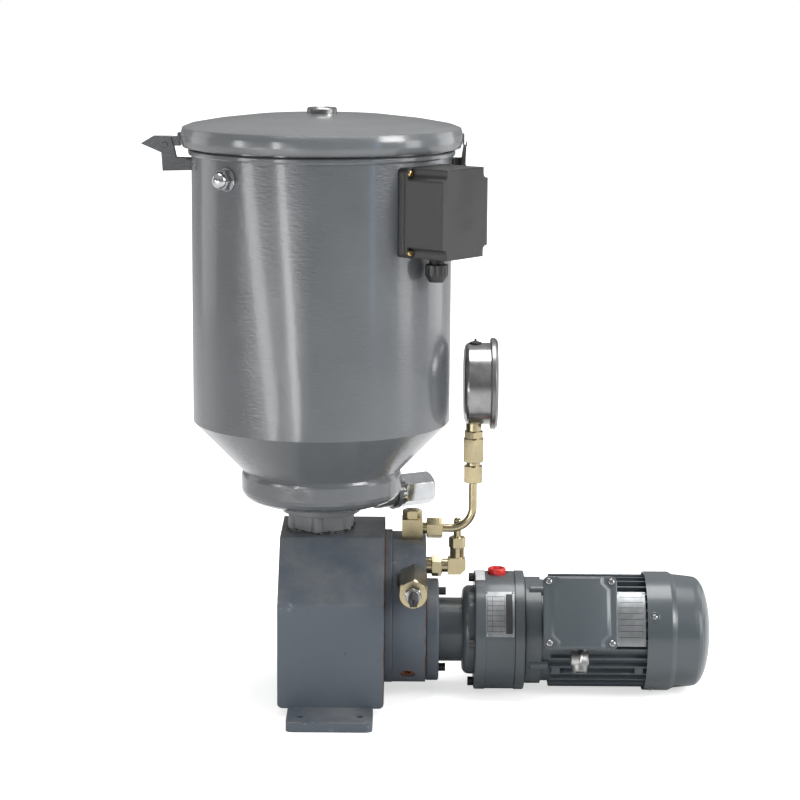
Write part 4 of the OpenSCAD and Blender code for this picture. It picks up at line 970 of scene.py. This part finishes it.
# %% [markdown]
# ## Studio
# A pale floor and a white background, as in the photograph. The camera, and whatever looks
# through glass, sees the background white. Mirrors and diffuse light get a grey sky that darkens
# towards the floor, as a studio does outside the picture: with white all round, bare metal
# would lose its dark stripes and look like paper.

# %% World
world = bpy.data.worlds.new("studio_world")
bpy.context.scene.world = world
world.use_nodes = True
tree = world.node_tree
tree.nodes.clear()


def seen_rays(tree):
    """1 for rays from the camera and through glass, and 0 for the rays that light things."""
    path = add(tree, "LightPath").outputs
    return maths(tree, "MAXIMUM", path["Is Camera Ray"], path["Is Transmission Ray"])


SKY_LOW, SKY_HIGH = 0.20, 0.56
height = add(tree, "SeparateXYZ", {0: add(tree, "TexCoord").outputs["Generated"]}).outputs[2]
grey = span(tree, height, -0.15, 0.85, SKY_LOW, SKY_HIGH)
seen = seen_rays(tree)
strength = maths(tree, "MAXIMUM", grey, seen)
sky = add(tree, "Background", {"Color": (1, 1, 1, 1), "Strength": strength})
tree.links.new(sky.outputs[0], add(tree, "OutputWorld").inputs["Surface"])
print("world ready")

# %% [markdown]
# ## Floor
# The floor adds some white of its own to what the camera sees, and the lamps add the rest, so
# the shadow under the feet still shows. The glow grows with the distance from the pump, where
# the lamps no longer reach, so that floor and background meet without a line.

# %% Floor
floor_mesh = bpy.data.meshes.new("floor")
half = 40.0
floor_mesh.from_pydata([(-half, -half, 0), (half, -half, 0), (half, half, 0), (-half, half, 0)],
    [], [(0, 1, 2, 3)])
floor = bpy.data.objects.new("floor", floor_mesh)
bpy.context.collection.objects.link(floor)
floor_material = bpy.data.materials.new("pale_floor")
floor_material.use_nodes = True
tree = floor_material.node_tree
tree.nodes.clear()
GLOW_NEAR, GLOW_FAR = 0.62, 1.0
distance = add(tree, "VectorMath", {0: own_place(tree)}, operation="LENGTH").outputs["Value"]
glow_here = span(tree, distance, 0.5, 2.0, GLOW_NEAR, GLOW_FAR)
matt = add(tree, "BsdfDiffuse", {"Color": (0.80, 0.80, 0.80, 1)})
glow = add(tree, "Emission", {"Color": (1, 1, 1, 1),
    "Strength": maths(tree, "MULTIPLY", seen_rays(tree), glow_here)})
both = add(tree, "AddShader", {0: matt.outputs[0], 1: glow.outputs[0]})
tree.links.new(both.outputs[0], add(tree, "OutputMaterial").inputs["Surface"])
floor_mesh.materials.append(floor_material)
print("floor", 2 * half, "m wide")

# %% [markdown]
# ## Lamps
# The streaks on the tank show where the lamps stood. Two narrow strips near the pump, low and
# left of the camera, make the two bright streaks, and they lean because the streaks do. The main
# light is a large box high on the right. Weaker ones stand left, low on the right and behind on
# the right, and a small bluish one gives the blue stripe beside the switch box, as a window
# would. One overhead lights the lid and the floor. Places are in metres, powers in watts.

# %% Softboxes
def softbox(name, foot, head, target, width, power, colour=(1, 1, 1)):
    """Area lamp that stands from foot to head and faces the target."""
    low, high = Vector(foot), Vector(head)
    data = bpy.data.lights.new(name, "AREA")
    data.shape = "RECTANGLE"
    data.size = width
    data.size_y = (high - low).length
    data.energy = power
    data.color = colour
    lamp = bpy.data.objects.new(name, data)
    up = (high - low).normalized()
    middle = (low + high) / 2
    back = middle - Vector(target)
    back = (back - up * back.dot(up)).normalized()
    side = up.cross(back)
    lamp.matrix_world = Matrix.Translation(middle) @ Matrix((side, up, back)).transposed().to_4x4()
    lamp.visible_camera = False
    bpy.context.collection.objects.link(lamp)


CENTRE, LOW_RIGHT = (0.0, 0.0, 0.40), (0.1, 0.0, 0.35)
softbox("strip_far", (-0.985, -1.335, 0.03), (-1.545, -0.618, 0.60), CENTRE, 0.17, 5.2)
softbox("strip_near", (-0.497, -1.578, 0.03), (-0.960, -1.360, 0.60), CENTRE, 0.14, 4.2)
softbox("left", (-2.50, 1.10, 0.10), (-2.50, 1.10, 1.90), CENTRE, 1.20, 7)
softbox("right", (2.50, -1.35, 0.95), (2.50, -1.35, 2.45), LOW_RIGHT, 1.10, 66)
softbox("right_side", (2.75, -0.55, 0.05), (2.75, -0.55, 1.30), LOW_RIGHT, 0.70, 10)
softbox("right_rim", (2.30, 1.40, 0.05), (2.30, 1.40, 1.80), CENTRE, 1.20, 10)
softbox("window", (1.40, -1.40, 0.20), (1.40, -1.40, 0.80), CENTRE, 0.14, 0.7, (0.35, 0.65, 1.0))
softbox("overhead", (0.20, -0.50, 2.70), (0.20, 1.00, 2.70), (0.05, 0, 0.30), 1.80, 64)
print("lamps", len(bpy.data.lights))
